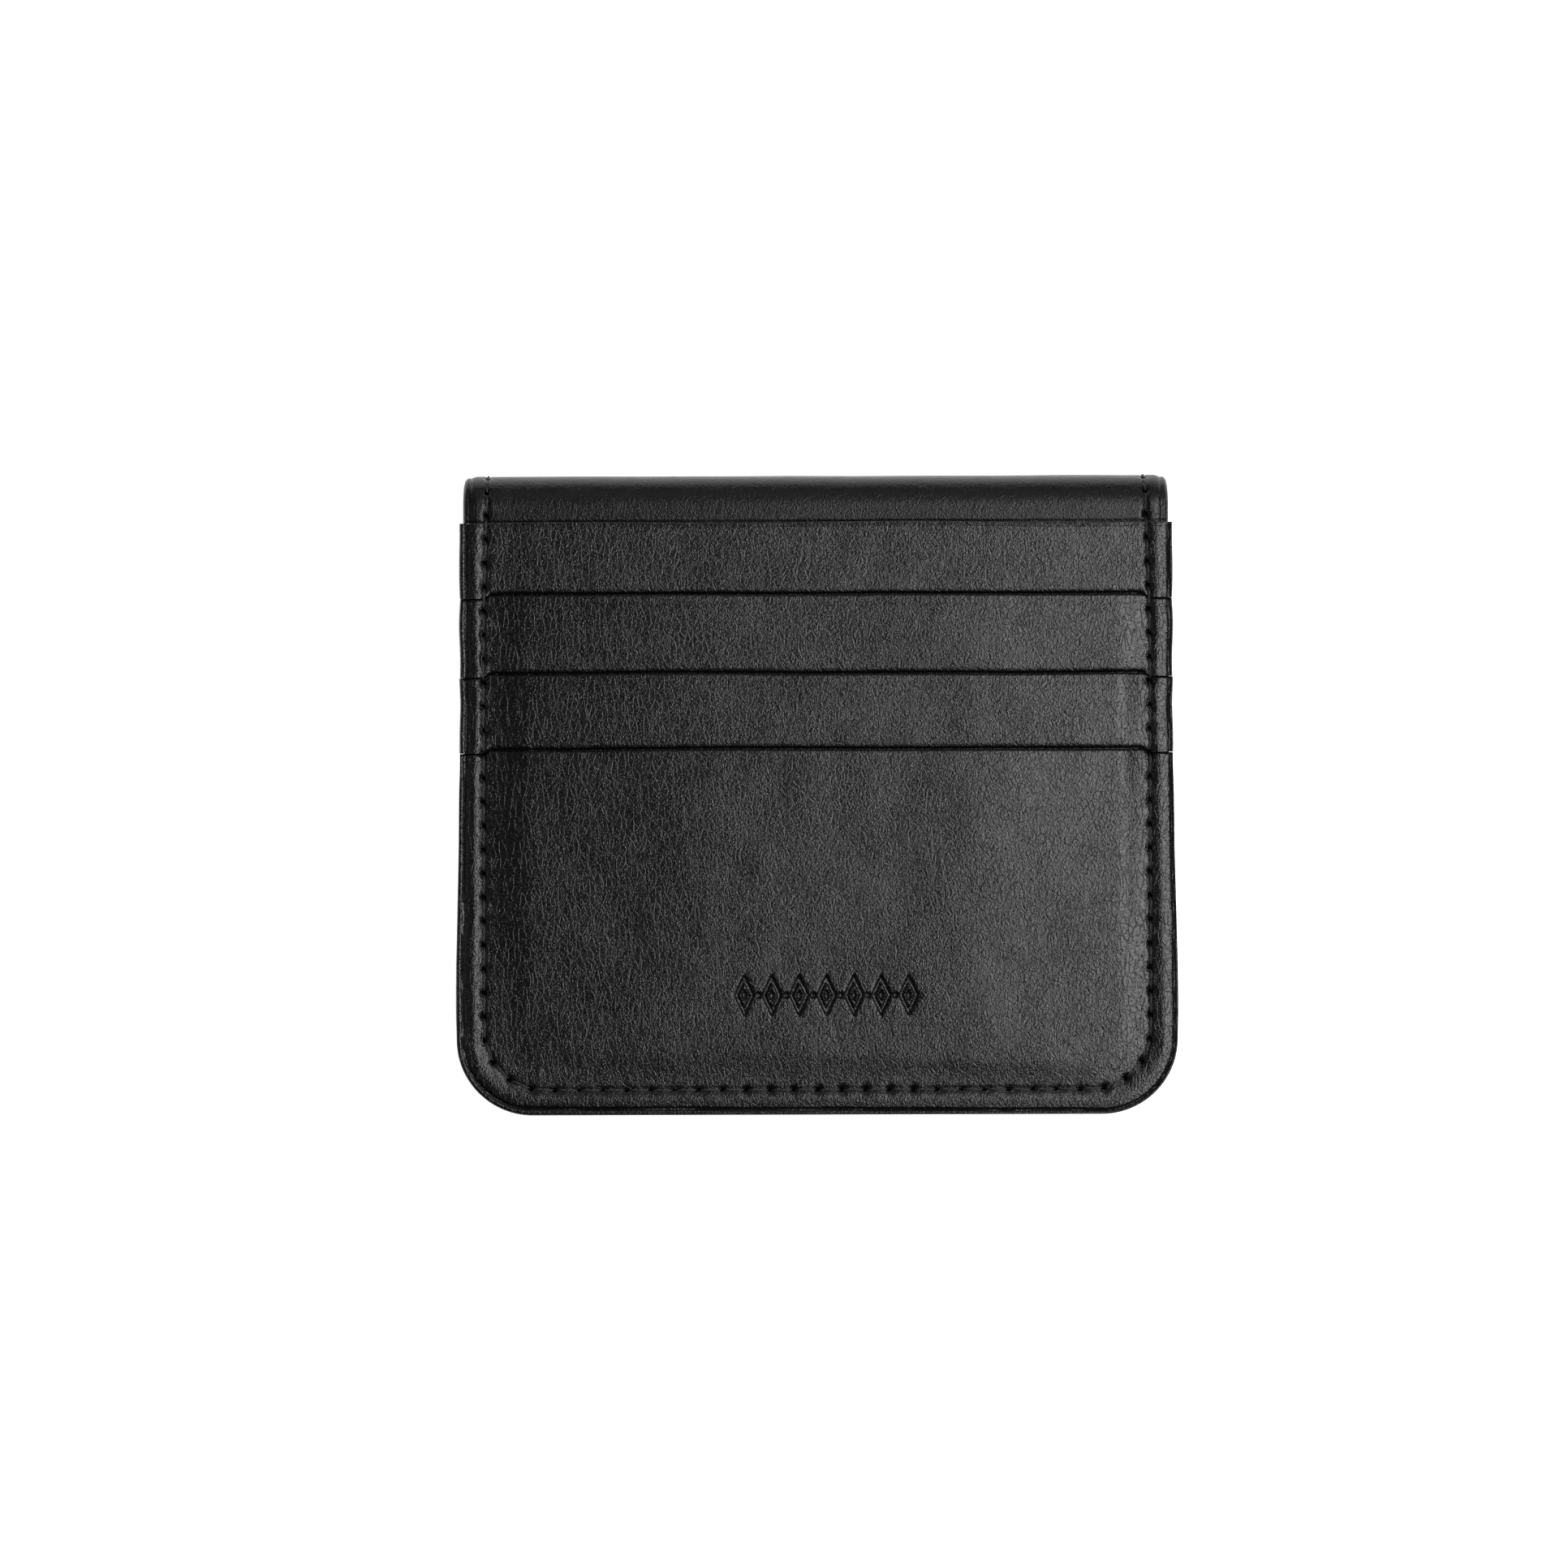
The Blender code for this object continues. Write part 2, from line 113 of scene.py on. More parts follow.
LEATHER = 2 * MOUTH_ROLL  # thickness of a facing
TONGUE_THICK = 0.5 * MM
LEAST_THICK = 0.15 * MM
CLEAR = 0.12 * MM  # the facings stay this far above the cover
TINY = 1e-7

# ---------- the seam

SEAM_INSET = 3.5 * MM
SEAM_X = ARM_HALF - SEAM_INSET
SEAM_Y = HEM + SEAM_INSET
SEAM_SHIFT = 0.03 * MM  # the seam lies this far to the right of the middle
SEAM_DRAW = 0.5 * MM  # and runs this much further in at the spine
SEAM_CORNER = CORNER - 2.4 * MM
PITCH = 3.3 * MM
GROOVE = 0.17 * MM  # how far the stitches pull the leather in
GROOVE_WIDTH = 0.29 * MM
COVER_GROOVE_WIDTH = 0.32 * MM
DIMPLE = 0.30 * MM  # and how much further at each needle hole
DIMPLE_WIDTH = 0.56 * MM
COVER_DIMPLE_WIDTH = 0.5 * MM
COVER_SUNK = 0.06 * MM  # the seam lies this much deeper where no facing covers the cover
HOLE = 0.50 * MM  # radius of a needle hole
HOLE_SUNK = 0.06 * MM  # how far its bottom lies under the groove
HOLE_DEPTH = 0.50 * MM
HOLE_SIDES = 10
PLY = 0.135 * MM  # radius of one of the thread's two plies
PLY_OFFSET = 0.10 * MM
TWIST = 2.1 * MM  # length of one turn of the thread's twist
THREAD_RISE = 0.12 * MM  # height of a stitch's middle over the groove
THREAD_DIP = 0.75 * MM  # and how far its ends go down into the holes

# ---------- the layers on the front leaf

MARGIN = 0.75 * MM  # height of the slot layers where they are sewn down
RISES = [1.05 * MM, 1.85 * MM, 2.25 * MM, 2.60 * MM]  # of each layer's mouth above the cover
FALLS = [0.05 * MM, 0.40 * MM, 0.42 * MM, 1.60 * MM]  # and how much lower its foot lies
RIGHT_BEND_X = 21.5 * MM  # to the right of this the layers slope down to the seam
RIGHT_FALL = 0.52  # share of their rise lost at the seam
LEFT_BEND_X = 14.0 * MM
LEFT_FALL = 0.78
ARM_OVERLAP = 0.06 * MM  # a facing's arms end this far above the next mouth
SAG_REACH = 3 * MM  # a mouth's wandering fades out over this far below it
LEFT_CURVE = 1.3  # exponent of the left slope: with 1 it would be straight
LIFT_REACH = 5.5 * MM  # the layers rise from the seam over this distance
INNER_MOUTH = 6  # a mouth inside has this number plus its leaf's side, 1 or -1
SHALLOW_MOUTHS = (0, 7)  # the first mouth, and the one inside the front leaf
MOUTH_DIP = 0.5 * MM  # a mouth's edge dips this far at the seams
SHALLOW_DIP = 0.12 * MM  # and these two this far
TONGUE_SUNK = 0.4 * MM  # a tongue lies this far under its facing
TONGUE_CLEAR = 0.1 * MM
TONGUE_SLOPE = 1.2 * MM
SLOT_CLOTH_DROPS = [0.55 * MM, 0.40 * MM, 0.25 * MM]  # of each slot cloth below the next facing

ORNAMENT_X, ORNAMENT_Y = 1.3 * MM, -27.8 * MM
ORNAMENT_HALF = 12.8 * MM
ORNAMENT_DEPTH = 0.36 * MM
ORNAMENT_STEP = 0.17 * MM  # spacing of the grid under it
LOZENGE_WIDE, LOZENGE_TALL = 1.45 * MM, 3.1 * MM  # half a lozenge's width and height
LOZENGE_WALL = 0.16  # width of a pressed edge, as a share of the lozenge
LOZENGES = 7
OUTLINE_OUTER, OUTLINE_INNER, SEED_EDGE = 1.02, 0.48, 0.34  # as shares of the lozenge
STUD = 0.5 * MM
HALO_DEPTH = 0.025 * MM

# ---------- ridges and pressed lines: height, place and width

EDGE_CREASE = (0.30 * MM, 0.76 * MM, 0.19 * MM)  # place is the distance in from an edge
EDGE_ROLL = (0.21 * MM, 2.2 * MM, 0.98 * MM)
ROLL_OUTSIDE = 0.85 * MM  # width of the edge's roll on its outer side
ROLL_LOSS = 0.3  # share of the roll lost along the hem
COVER_CREASE = (0.16 * MM, 0.95 * MM, 0.22 * MM)
COVER_ROLL = (0.16 * MM, 2.0 * MM, 1.0 * MM)
MOUTH_BEAD = (0.04 * MM, 0.42 * MM, 0.34 * MM)  # place is the distance below a mouth
FIRST_HOLLOW = (0.09 * MM, 0.46 * MM, 0.17 * MM)
HOLLOW = (0.06 * MM, 1.05 * MM, 0.5 * MM)
MOUTH_FALL = (0.15 * MM, 0.0, 0.75 * MM)
SLACK = (0.07 * MM, 0.0, 1.2 * MM)  # a layer sinks along the next one's mouth
TUCK = (0.50 * MM, 0.0, 0.24 * MM)
COVER_TUCK = (0.15 * MM, 0.0, 0.3 * MM)
PANEL_BEAD = (0.05 * MM, 0.4 * MM, 0.35 * MM)
PANEL_GROOVE = (0.26 * MM, 0.0, 0.42 * MM)
PANEL_DIMPLE = (0.20 * MM, 0.0, 0.6 * MM)

# ---------- slow unevenness: height, spacing and seed

ARM_WAVE = (0.10 * MM, 6 * MM, 0.5)
POCKET_WAVE = (0.10 * MM, 7 * MM, 9.5)
CREASE_WAVE = (0.06 * MM, 7 * MM, 3.1)
ROLL_WAVE = (0.10 * MM, 5 * MM, 8.4)
SLOW_SWELL = (0.10 * MM, 17 * MM, 0.0)
QUICK_SWELL = (0.035 * MM, 5 * MM, 5.0)
MOUTH_WAVE = (0.14 * MM, 24 * MM, 0.0)
COVER_CREASE_WAVE = (0.10 * MM, 7 * MM, 4.4)
COVER_WAVE = (0.05 * MM, 14 * MM, 6.0)
PANEL_WAVE = (0.05 * MM, 15 * MM, 0.0)
LINING_WAVE = (0.07 * MM, 9 * MM, 30.0)
SLOT_CLOTH_WAVE = (0.04 * MM, 8 * MM, 40.0)

# ---------- inside the leaves

LINING_MARGIN = 2.46 * MM  # depth in from the cover's outer face, where each layer is sewn down
FRONT_MARGIN = 3.10 * MM
SLOT_MARGIN = 3.05 * MM
BACK_MARGIN = 3.45 * MM
LINING_FACE = 2.40 * MM
LINING_THICK = 0.18 * MM
PANEL_BACK = 2.55 * MM  # the inner panels' backs come no nearer to the cover than this
PANEL_THICK = 0.5 * MM
PANEL_LEAST = 0.1 * MM
PANEL_ROUND = 0.3 * MM
CLOTH_THICK = 0.12 * MM

# ---------- spacing of the grids

COVER_STEP = 1.2 * MM
FOLD_STEP = 0.22 * MM
CLOTH_STEP = 1.4 * MM
POCKET_CORNER_STEPS = 44
COVER_CORNER_STEPS = 40
INNER_CORNER_STEPS = 36
LINING_CORNER_STEPS = 24

# ---------- material, light and camera

# nets of furrows: how closely and how far their lines are bent, their pebbles per mm, line width
CREASE_NET = (0.55, 1.3, 1.25, 0.10)
FOLD_NET = (0.30, 2.4, 0.40, 0.045)
PEBBLE_NET = (1.6, 0.35, 1.9, 0.40)
FINE_NET = (2.8, 0.18, 3.4, 0.60)
GRAIN_DEPTH = 0.034 * MM
KEY = dict(location=(0.375, 0.0, 0.80), target=(0.375, 0.0, 0.0), size=(0.42, 0.76), power=6.6)
BACK_LIGHT = dict(location=(0.05, 0.75, 0.62), target=(0.0, 0.0, 0.0), size=(1.0, 0.5), power=0.85)
FILL = dict(location=(-0.62, -0.05, 0.45), target=(0.0, 0.0, 0.0), size=(0.30, 0.60), power=0.3)
WORLD_STRENGTH = 0.015
FLOOR_GLOW = 0.95
CAMERA_AT = (-4.5 * MM, 1.4 * MM, 612.0 * MM)
CAMERA_ROLL = math.radians(-0.17)
LENS, SENSOR = 100.0, 36.0

# ---------- the fold

FOLD = math.radians(60)  # each of the three bends turns this far
MIDDLE_TURN = SPINE_RADIUS * FOLD / 2  # from the middle of the spine to the end of its middle bend
ZONES = {
    "back": ("back_leaf", "spine_lower", -QUARTER_TURN, -MIDDLE_TURN),
    "spine": ("spine_lower", "spine_upper", -MIDDLE_TURN, MIDDLE_TURN),
    "front": ("spine_upper", "front_leaf", MIDDLE_TURN, QUARTER_TURN),
}

FRONT, BACK = 1, -1


def along(y):
    """Distance along the cover from the middle of the spine to a height on a leaf."""
    return QUARTER_TURN + SPINE_Y - y


def height_on_leaf(s):
    """The y of a distance along the cover, running on past the spine as if it were flat."""
    return QUARTER_TURN + SPINE_Y - np.abs(s)


def around(x, s, h):
    """Points wrapped round the closed holder, as an (n, 3) array."""
    x, s, h = (np.asarray(v, float) for v in np.broadcast_arrays(x, s, h))
    radius = SPINE_RADIUS + h
    turn = np.clip(s, -QUARTER_TURN, QUARTER_TURN) / SPINE_RADIUS
    flat = np.where(np.abs(s) > QUARTER_TURN, height_on_leaf(s) - SPINE_Y, 0.0)
    y = SPINE_Y + radius * np.cos(turn) + flat
    return np.stack([x, y, SPINE_Z + radius * np.sin(turn)], axis=-1)


def ramp(value, low, high):
    """0 below low, 1 above high, and smooth between."""
    t = np.clip((value - low) / (high - low), 0.0, 1.0)
    return t * t * (3 - 2 * t)


def bell(value, centre, width):
    """1 at the centre, falling off smoothly on both sides."""
    return np.exp(-(((value - centre) / width) ** 2))


def wander(x, y, scale, seed):
    """Smooth random values between about -1 and 1, the same on every run."""
    flat_x, flat_y = np.ravel(x), np.ravel(y)
    values = [noise.noise(Vector((a / scale, b / scale, seed))) for a, b in zip(flat_x, flat_y)]
    return np.reshape(values, np.shape(x)) * 1.6


def wave(x, y, kind, shift=0.0):
    """Slow unevenness of one kind, with its seed shifted."""
    height, spacing, seed = kind
    return height * wander(x, y, spacing, seed + shift)


def ridge(value, kind):
    """A rounded ridge of one kind."""
    height, place, width = kind
    return height * bell(value, place, width)


def graded(stops):
    """Grid positions: (position, spacing) stops, with the spacing kept up to the next stop."""
    values = []
    for (low, step), (high, _) in zip(stops, stops[1:]):
        count = max(1, round((high - low) / step))
        values += list(np.linspace(low, high, count, endpoint=False))
    return np.array(values + [stops[-1][0]])


# ---------- outlines


def half_width(y, half_top, half_hem, corner, hem, top):
    """Half the width of a leaf's outline at height y: nearly straight sides, round hem corners."""
    down = np.clip((top - y) / (top - hem - 2 * corner), 0, 1)
    flare = half_top + (half_hem - half_top) * down**1.8
    rise = np.clip(y - hem, 0.0, corner)
    pulled = corner - np.sqrt(np.maximum(corner**2 - (corner - rise) ** 2, 0.0))
    return flare - pulled


def edge_distance(x, y, half, hem, corner):
    """Distance in from a leaf's outline, counting only its two sides and its hem."""
    qx = np.abs(x) - (half - corner)
    qy = (hem + corner) - y
    outside = np.hypot(np.maximum(qx, 0.0), np.maximum(qy, 0.0))
    inside = np.minimum(np.maximum(qx, qy), 0.0)
    return corner - outside - inside


def squeezed(u, half, widest, corner):
    """A grid's columns, drawn in to the outline's half width where its corners turn."""
    shoulder = widest - corner - SHOULDER_ROOM
    drawn_in = shoulder + (np.abs(u) - shoulder) * (half - shoulder) / (widest - shoulder)
    return np.where(np.abs(u) > shoulder, np.sign(u) * drawn_in, u)


def corner_rows(hem, corner, steps):
    """Heights down a round corner to the hem, at even turns."""
    turns = np.linspace(math.pi / 2, 0.0, steps + 1)
    return hem + corner * (1 - np.cos(turns))


# ---------- mesh building


def new_object(name, verts, faces, material):
    data = bpy.data.meshes.new(name)
    data.from_pydata([tuple(v) for v in verts], [], faces)
    data.validate()
    for polygon in data.polygons:
        polygon.use_smooth = True
    obj = bpy.data.objects.new(name, data)
    bpy.context.scene.collection.objects.link(obj)
    data.materials.append(material)
    return obj


def grid_solid(name, material, x, s, top, bottom, keep=None):
    """A closed solid over the cells of an (s, x) grid, between two height fields."""
    rows, columns = x.shape
    if keep is None:
        keep = np.ones((rows - 1, columns - 1), bool)
    used = np.zeros((rows, columns), bool)
    for di in (0, 1):
        for dj in (0, 1):
            used[di : rows - 1 + di, dj : columns - 1 + dj] |= keep
    index = np.full((rows, columns), -1)
    index[used] = np.arange(used.sum())
    count = int(used.sum())
    upper = around(x, s, top)[used]
    lower = around(x, s, bottom)[used]
    a, b = index[:-1, :-1], index[:-1, 1:]
    c, d = index[1:, 1:], index[1:, :-1]
    quads = np.stack([a, b, c, d], axis=-1)[keep]
    faces = [tuple(q) for q in quads] + [tuple(q[::-1] + count) for q in quads]
    padded = np.pad(keep, 1)
    here = padded[1:-1, 1:-1]
    sides = (
        (padded[:-2, 1:-1], a, b),
        (padded[1:-1, 2:], b, c),
        (padded[2:, 1:-1], c, d),
        (padded[1:-1, :-2], d, a),
    )
    for beyond, first, second in sides:
        for p, q in zip(first[here & ~beyond], second[here & ~beyond]):
            faces.append((q, p, p + count, q + count))
    obj = new_object(name, np.concatenate([upper, lower]), faces, material)
    tidy_normals(obj)
    return obj


def tidy_normals(obj, sharp=math.radians(50)):
    """Turns all faces outward, and marks the edges that are sharper than an angle."""
    mesh = bmesh.new()
    mesh.from_mesh(obj.data)
    bmesh.ops.recalc_face_normals(mesh, faces=mesh.faces[:])
    if mesh.calc_volume(signed=True) < 0:
        bmesh.ops.reverse_faces(mesh, faces=mesh.faces[:])
    mesh.to_mesh(obj.data)
    mesh.free()
    obj.data.set_sharp_from_angle(angle=sharp)


def dress(obj, slot, *nodes):
    """Hides the nodes of the frame that a finished piece stands for; the piece itself and its material
    slot are not used.
    """
    if nodes:
        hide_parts(*nodes)


# ---------- materials


class Nodes:
    """A short way to write a material's nodes."""

    def __init__(self, name):
        self.material = bpy.data.materials.new(name)
        self.material.use_nodes = True
        self.tree = self.material.node_tree
        self.shader = self.tree.nodes["Principled BSDF"]

    def add(self, kind, inputs=(), **settings):
        node = self.tree.nodes.new(kind)
        for key, value in settings.items():
            setattr(node, key, value)
        for key, value in dict(inputs).items():
            self.feed(node.inputs[key], value)
        return node

    def feed(self, socket, value):
        if isinstance(value, bpy.types.NodeSocket):
            self.tree.links.new(value, socket)
        elif value is not None:
            socket.default_value = value

    def math(self, operation, *values):
        node = self.add("ShaderNodeMath", operation=operation)
        for socket, value in zip(node.inputs, values):
            self.feed(socket, value)
        return node.outputs[0]

    def between(self, value, low, high, out_low=0.0, out_high=1.0):
        inputs = {"Value": value, "From Min": low, "From Max": high}
        inputs.update({"To Min": out_low, "To Max": out_high})
        node = self.add("ShaderNodeMapRange", inputs, interpolation_type="SMOOTHSTEP")
        return node.outputs[0]

    def noise(self, vector, scale, detail=2.0, roughness=0.5):
        inputs = {"Vector": vector, "Scale": scale, "Detail": detail, "Roughness": roughness}
        return self.add("ShaderNodeTexNoise", inputs).outputs["Fac"]

    def surface(self, color, rough, height=None, strength=0.0, depth=0.0):
        """Sets the shader's colour, its roughness and, with a height, its bump."""
        self.feed(self.shader.inputs["Base Color"], color)
        self.feed(self.shader.inputs["Roughness"], rough)
        if height is not None:
            bump = self.add("ShaderNodeBump", {"Height": height, "Strength": strength, "Distance": depth})
            self.feed(self.shader.inputs["Normal"], bump.outputs["Normal"])

    def mix(self, factor, first, second):
        node = self.add("ShaderNodeMix", data_type="RGBA")
        factor_socket, first_socket, second_socket = node.inputs[0], node.inputs[6], node.inputs[7]
        self.feed(factor_socket, factor)
        self.feed(first_socket, first)
        self.feed(second_socket, second)
        return node.outputs[2]


def place_in_mm(nodes, turn=0.0, stretch=(1.0, 1.0, 1.0)):
    """The piece's own coordinates in millimetres, turned and stretched for a grain's direction."""
    here = nodes.add("ShaderNodeTexCoord").outputs["Object"]
    inputs = {
        "Vector": here,
        "Rotation": (0.0, 0.0, turn),
        "Scale": tuple(k / MM for k in stretch),
    }
    return nodes.add("ShaderNodeMapping", inputs).outputs["Vector"]


def bent(nodes, vector, scale, amount):
    """The coordinates pushed about by noise, so that no line in a grain runs straight."""
    inputs = {"Vector": vector, "Scale": scale, "Detail": 1.0}
    push = nodes.add("ShaderNodeTexNoise", inputs).outputs["Color"]
    centred = nodes.add("ShaderNodeVectorMath", {0: push, 1: (0.5, 0.5, 0.5)}, operation="SUBTRACT")
    scaled = nodes.add("ShaderNodeVectorMath", {0: centred.outputs[0]}, operation="SCALE")
    scaled.inputs["Scale"].default_value = amount
    moved = nodes.add("ShaderNodeVectorMath", {0: vector, 1: scaled.outputs[0]}, operation="ADD")
    return moved.outputs[0]


def furrows(nodes, vector, net):
    """1 on the lines between a grain's pebbles and 0 on the pebbles."""
    bend_scale, bend, scale, width = net
    inputs = {"Vector": bent(nodes, vector, bend_scale, bend), "Scale": scale, "Randomness": 1.0}
    edge = nodes.add("ShaderNodeTexVoronoi", inputs, feature="DISTANCE_TO_EDGE").outputs["Distance"]
    return nodes.between(edge, 0.0, width, 1.0, 0.0)


def leather(name, turn=0.0, gloss=0.155, grain=1.0, shine=0.5):
    """Black aniline leather: fine pebbles, a net of thin creases over them, an uneven polish, and painted
    shade in the furrows.
    """
    nodes = Nodes(name)
    base = place_in_mm(nodes)
    long_way = place_in_mm(nodes, turn, (1.0, 0.5, 1.0))
    creases = furrows(nodes, long_way, CREASE_NET)
    folds = furrows(nodes, long_way, FOLD_NET)
    pebbles = furrows(nodes, base, PEBBLE_NET)
    fine = furrows(nodes, base, FINE_NET)
    pores = nodes.noise(base, 6.0, 3.0, 0.7)
    patches = nodes.noise(base, 0.11, 2.0, 0.5)
    uneven = nodes.noise(base, 0.30, 3.0, 0.6)

    worn = nodes.between(patches, 0.38, 0.62)
    coarse = nodes.math("MULTIPLY", creases, nodes.between(uneven, 0.32, 0.62, 0.22, 0.70))
    deep = nodes.math("MULTIPLY", folds, nodes.between(patches, 0.40, 0.62, 0.0, 0.45))
    shallow = nodes.math("MULTIPLY", fine, nodes.between(uneven, 0.30, 0.65, 0.95, 0.62))
    domed = nodes.math("ADD", shallow, nodes.math("MULTIPLY", pebbles, 0.40))
    sunk = nodes.math("ADD", nodes.math("MAXIMUM", coarse, deep), domed)
    level = nodes.math("SUBTRACT", nodes.math("MULTIPLY", pores, 0.25), sunk)

    tone = nodes.mix(worn, (0.0034, 0.0034, 0.0036, 1.0), (0.0056, 0.0055, 0.0055, 1.0))
    # the furrows are painted darker than the pebbles: painted shade in the creases
    color = nodes.mix(sunk, tone, (0.0022, 0.0022, 0.0023, 1.0))
    polish = nodes.between(uneven, 0.25, 0.75, gloss - 0.03, gloss + 0.05)
    rough = nodes.math("ADD", polish, nodes.math("MULTIPLY", sunk, 0.10))
    nodes.surface(color, rough, level, grain, GRAIN_DEPTH)
    nodes.shader.inputs["Specular IOR Level"].default_value = shine
    return nodes.material


def woven_cloth(name):
    """Thin black taffeta, woven over and under."""
    nodes = Nodes(name)
    vector = place_in_mm(nodes)
    warp = nodes.add("ShaderNodeTexWave", {"Vector": vector, "Scale": 1.6}, bands_direction="X")
    weft = nodes.add("ShaderNodeTexWave", {"Vector": vector, "Scale": 1.6}, bands_direction="Y")
    slubs = nodes.noise(place_in_mm(nodes, 0.0, (0.15, 2.0, 1.0)), 1.2, 2.0)
    weave = nodes.math("MULTIPLY", warp.outputs["Fac"], weft.outputs["Fac"])
    level = nodes.math("ADD", weave, nodes.math("MULTIPLY", slubs, 0.5))
    color = nodes.mix(level, (0.009, 0.009, 0.010, 1.0), (0.026, 0.026, 0.028, 1.0))
    nodes.surface(color, nodes.between(weave, 0.0, 1.0, 0.7, 0.5), level, 0.5, 0.06 * MM)
    nodes.shader.inputs["Sheen Weight"].default_value = 0.15
    return nodes.material


def pressed_board(name):
    """Grey fibre board."""
    nodes = Nodes(name)
    vector = place_in_mm(nodes)
    fibres = nodes.noise(vector, 1.7, 4.0, 0.7)
    color = nodes.mix(fibres, (0.16, 0.15, 0.13, 1.0), (0.32, 0.30, 0.27, 1.0))
    nodes.surface(color, nodes.between(fibres, 0.3, 0.7, 0.95, 0.8), fibres, 0.4, 0.05 * MM)
    return nodes.material


def waxed_thread(name):
    """Black polyester sewing thread with a little wax on it."""
    nodes = Nodes(name)
    vector = place_in_mm(nodes)
    fuzz = nodes.noise(vector, 6.0, 3.0, 0.7)
    color = nodes.mix(fuzz, (0.006, 0.006, 0.0065, 1.0), (0.022, 0.022, 0.023, 1.0))
    nodes.surface(color, nodes.between(fuzz, 0.2, 0.8, 0.42, 0.62), fuzz, 0.5, 0.04 * MM)
    return nodes.material


def needle_hole_shade(name):
    """The inside of a needle hole, painted near black and without shine: painted shade."""
    nodes = Nodes(name)
    fuzz = nodes.noise(place_in_mm(nodes), 5.0, 2.0)
    color = nodes.mix(fuzz, (0.0008, 0.0008, 0.0008, 1.0), (0.0025, 0.0025, 0.0025, 1.0))
    nodes.surface(color, nodes.between(fuzz, 0.3, 0.7, 0.9, 1.0))
    nodes.shader.inputs["Specular IOR Level"].default_value = 0.0
    return nodes.material


# ---------- the seam's line


def seam_half(y):
    """Half the distance between the side seams: they run in a little towards the spine."""
    return SEAM_X - SEAM_DRAW * ramp(y, 20 * MM, 42 * MM)


def seam_route(side):
    """The seam of one leaf, from the middle of the spine down, round the hem and back up.

    It gives a function from distance to (x, s), and the route's whole length."""
    radius = SEAM_CORNER
    down = along(SEAM_Y + radius)
    turn = radius * math.pi / 2
    across = 2 * (SEAM_X - radius)
    length = 2 * down + 2 * turn + across

    def at(distance):
        mirrored = distance > length / 2
        d = length - distance if mirrored else distance
        if d < down:
            x, s = float(seam_half(height_on_leaf(d))), d
        elif d < down + turn:
            angle = (d - down) / radius
            x = SEAM_X - radius + radius * math.cos(angle)
            s = along(SEAM_Y + radius - radius * math.sin(angle))
        else:
            x, s = SEAM_X - radius - (d - down - turn), along(SEAM_Y)
        return (-x if mirrored else x) + SEAM_SHIFT, side * s

    return at, length


def stitch_marks(side):
    """The needle holes of one leaf's seam, as an (n, 2) array of (x, s)."""
    at, length = seam_route(side)
    count = round(length / PITCH)
    return np.array([at(length * (i + 0.5) / count) for i in range(count)])


MARKS = {side: stitch_marks(side) for side in (FRONT, BACK)}


def nearest_mark(x, s):
    """The distance of each point of the front leaf, or of its like on the back, to a needle hole."""
    nearest = np.full(np.shape(x), 1.0)
    for mx, ms in MARKS[FRONT]:
        nearest = np.minimum(nearest, np.hypot(x - mx, s - ms))
    return nearest


def seam_distance(x, y):
    """How far inside (positive) or outside the seam line a point of a leaf is."""
    return edge_distance(x - SEAM_SHIFT, y, seam_half(y), SEAM_Y, SEAM_CORNER)


# ---------- the leather's surface


def margin_relief(x, y, s, d):
    """The edge crease, the roll beside it and the pulled-in line of stitches, as a height."""
    lean = np.clip(x / POCKET_HALF, -1, 1)
    crease_shift = 0.22 * MM * lean - wave(x, y, CREASE_WAVE)
    crease = -ridge(d + crease_shift, EDGE_CREASE)
    height, roll_in, width = EDGE_ROLL
    roll_at = roll_in - 0.1 * MM * lean + wave(x, y, ROLL_WAVE)
    height = (height - 0.02 * MM * lean) * (1 - ROLL_LOSS * ramp(HEM + 9 * MM - y, 0.0, 5 * MM))
    roll = height * bell(d, roll_at, np.where(d > roll_at, width, ROLL_OUTSIDE))
    inward = seam_distance(x, y)
    holes = nearest_mark(x, s)
    groove = -GROOVE * bell(inward, 0.0, GROOVE_WIDTH)
    dimples = -DIMPLE * bell(holes, 0.0, DIMPLE_WIDTH)
    return crease + roll + groove + dimples


def swell(x, y, seed):
    """Slow unevenness of stretched leather."""
    return wave(x, y, SLOW_SWELL, seed) + wave(x, y, QUICK_SWELL, seed)


def rounded_drop(d, radius):
    """How far a surface falls away within a rounded edge."""
    reach = np.clip(1 - d / radius, 0.0, 1.0)
    return radius * (1 - np.sqrt(np.maximum(1 - reach**2, 0.0)))


# ---------- columns and rows of the grids


def columns_across(half, middle_step=0.9 * MM):
    """Columns from edge to edge, close together at the edges."""
    edge = [(0.0, 0.11 * MM), (0.6 * MM, 0.2 * MM), (6.5 * MM, 0.45 * MM), (11.0 * MM, 0.0)]
    right = half - graded(edge)[::-1]
    middle = graded([(-right[0], middle_step), (right[0], 0.0)])
    return np.concatenate([-right[::-1], middle[1:-1], right])


def mouth_rows(mouth, next_stop, step=0.42 * MM):
    """Heights from a mouth down: close together at the rolled edge, wider below it."""
    near = graded([(0.0, 0.08 * MM), (0.8 * MM, 0.2 * MM), (1.6 * MM, step), (mouth - next_stop, 0.0)])
    return mouth - near


def tongued_rows(mouth, arm_end, tail):
    """Heights of a facing's rows: its mouth, the end of its arms and its hidden tongue."""
    return np.concatenate([
        mouth_rows(mouth, arm_end + 0.4 * MM),
        arm_end + np.array([0.2, 0.08, 0.0]) * MM,
        np.linspace(arm_end, tail, 6)[1:],
    ])


def tongued_cells(x, rows, arm_end, tongue_half):
    """Which cells a facing fills: all of them down to its arms' ends, and its tongue's below."""
    middle_x = np.abs(x[:-1, :-1] + x[1:, 1:]) / 2
    return (rows[:-1, None] > arm_end + TINY) | (middle_x < tongue_half)


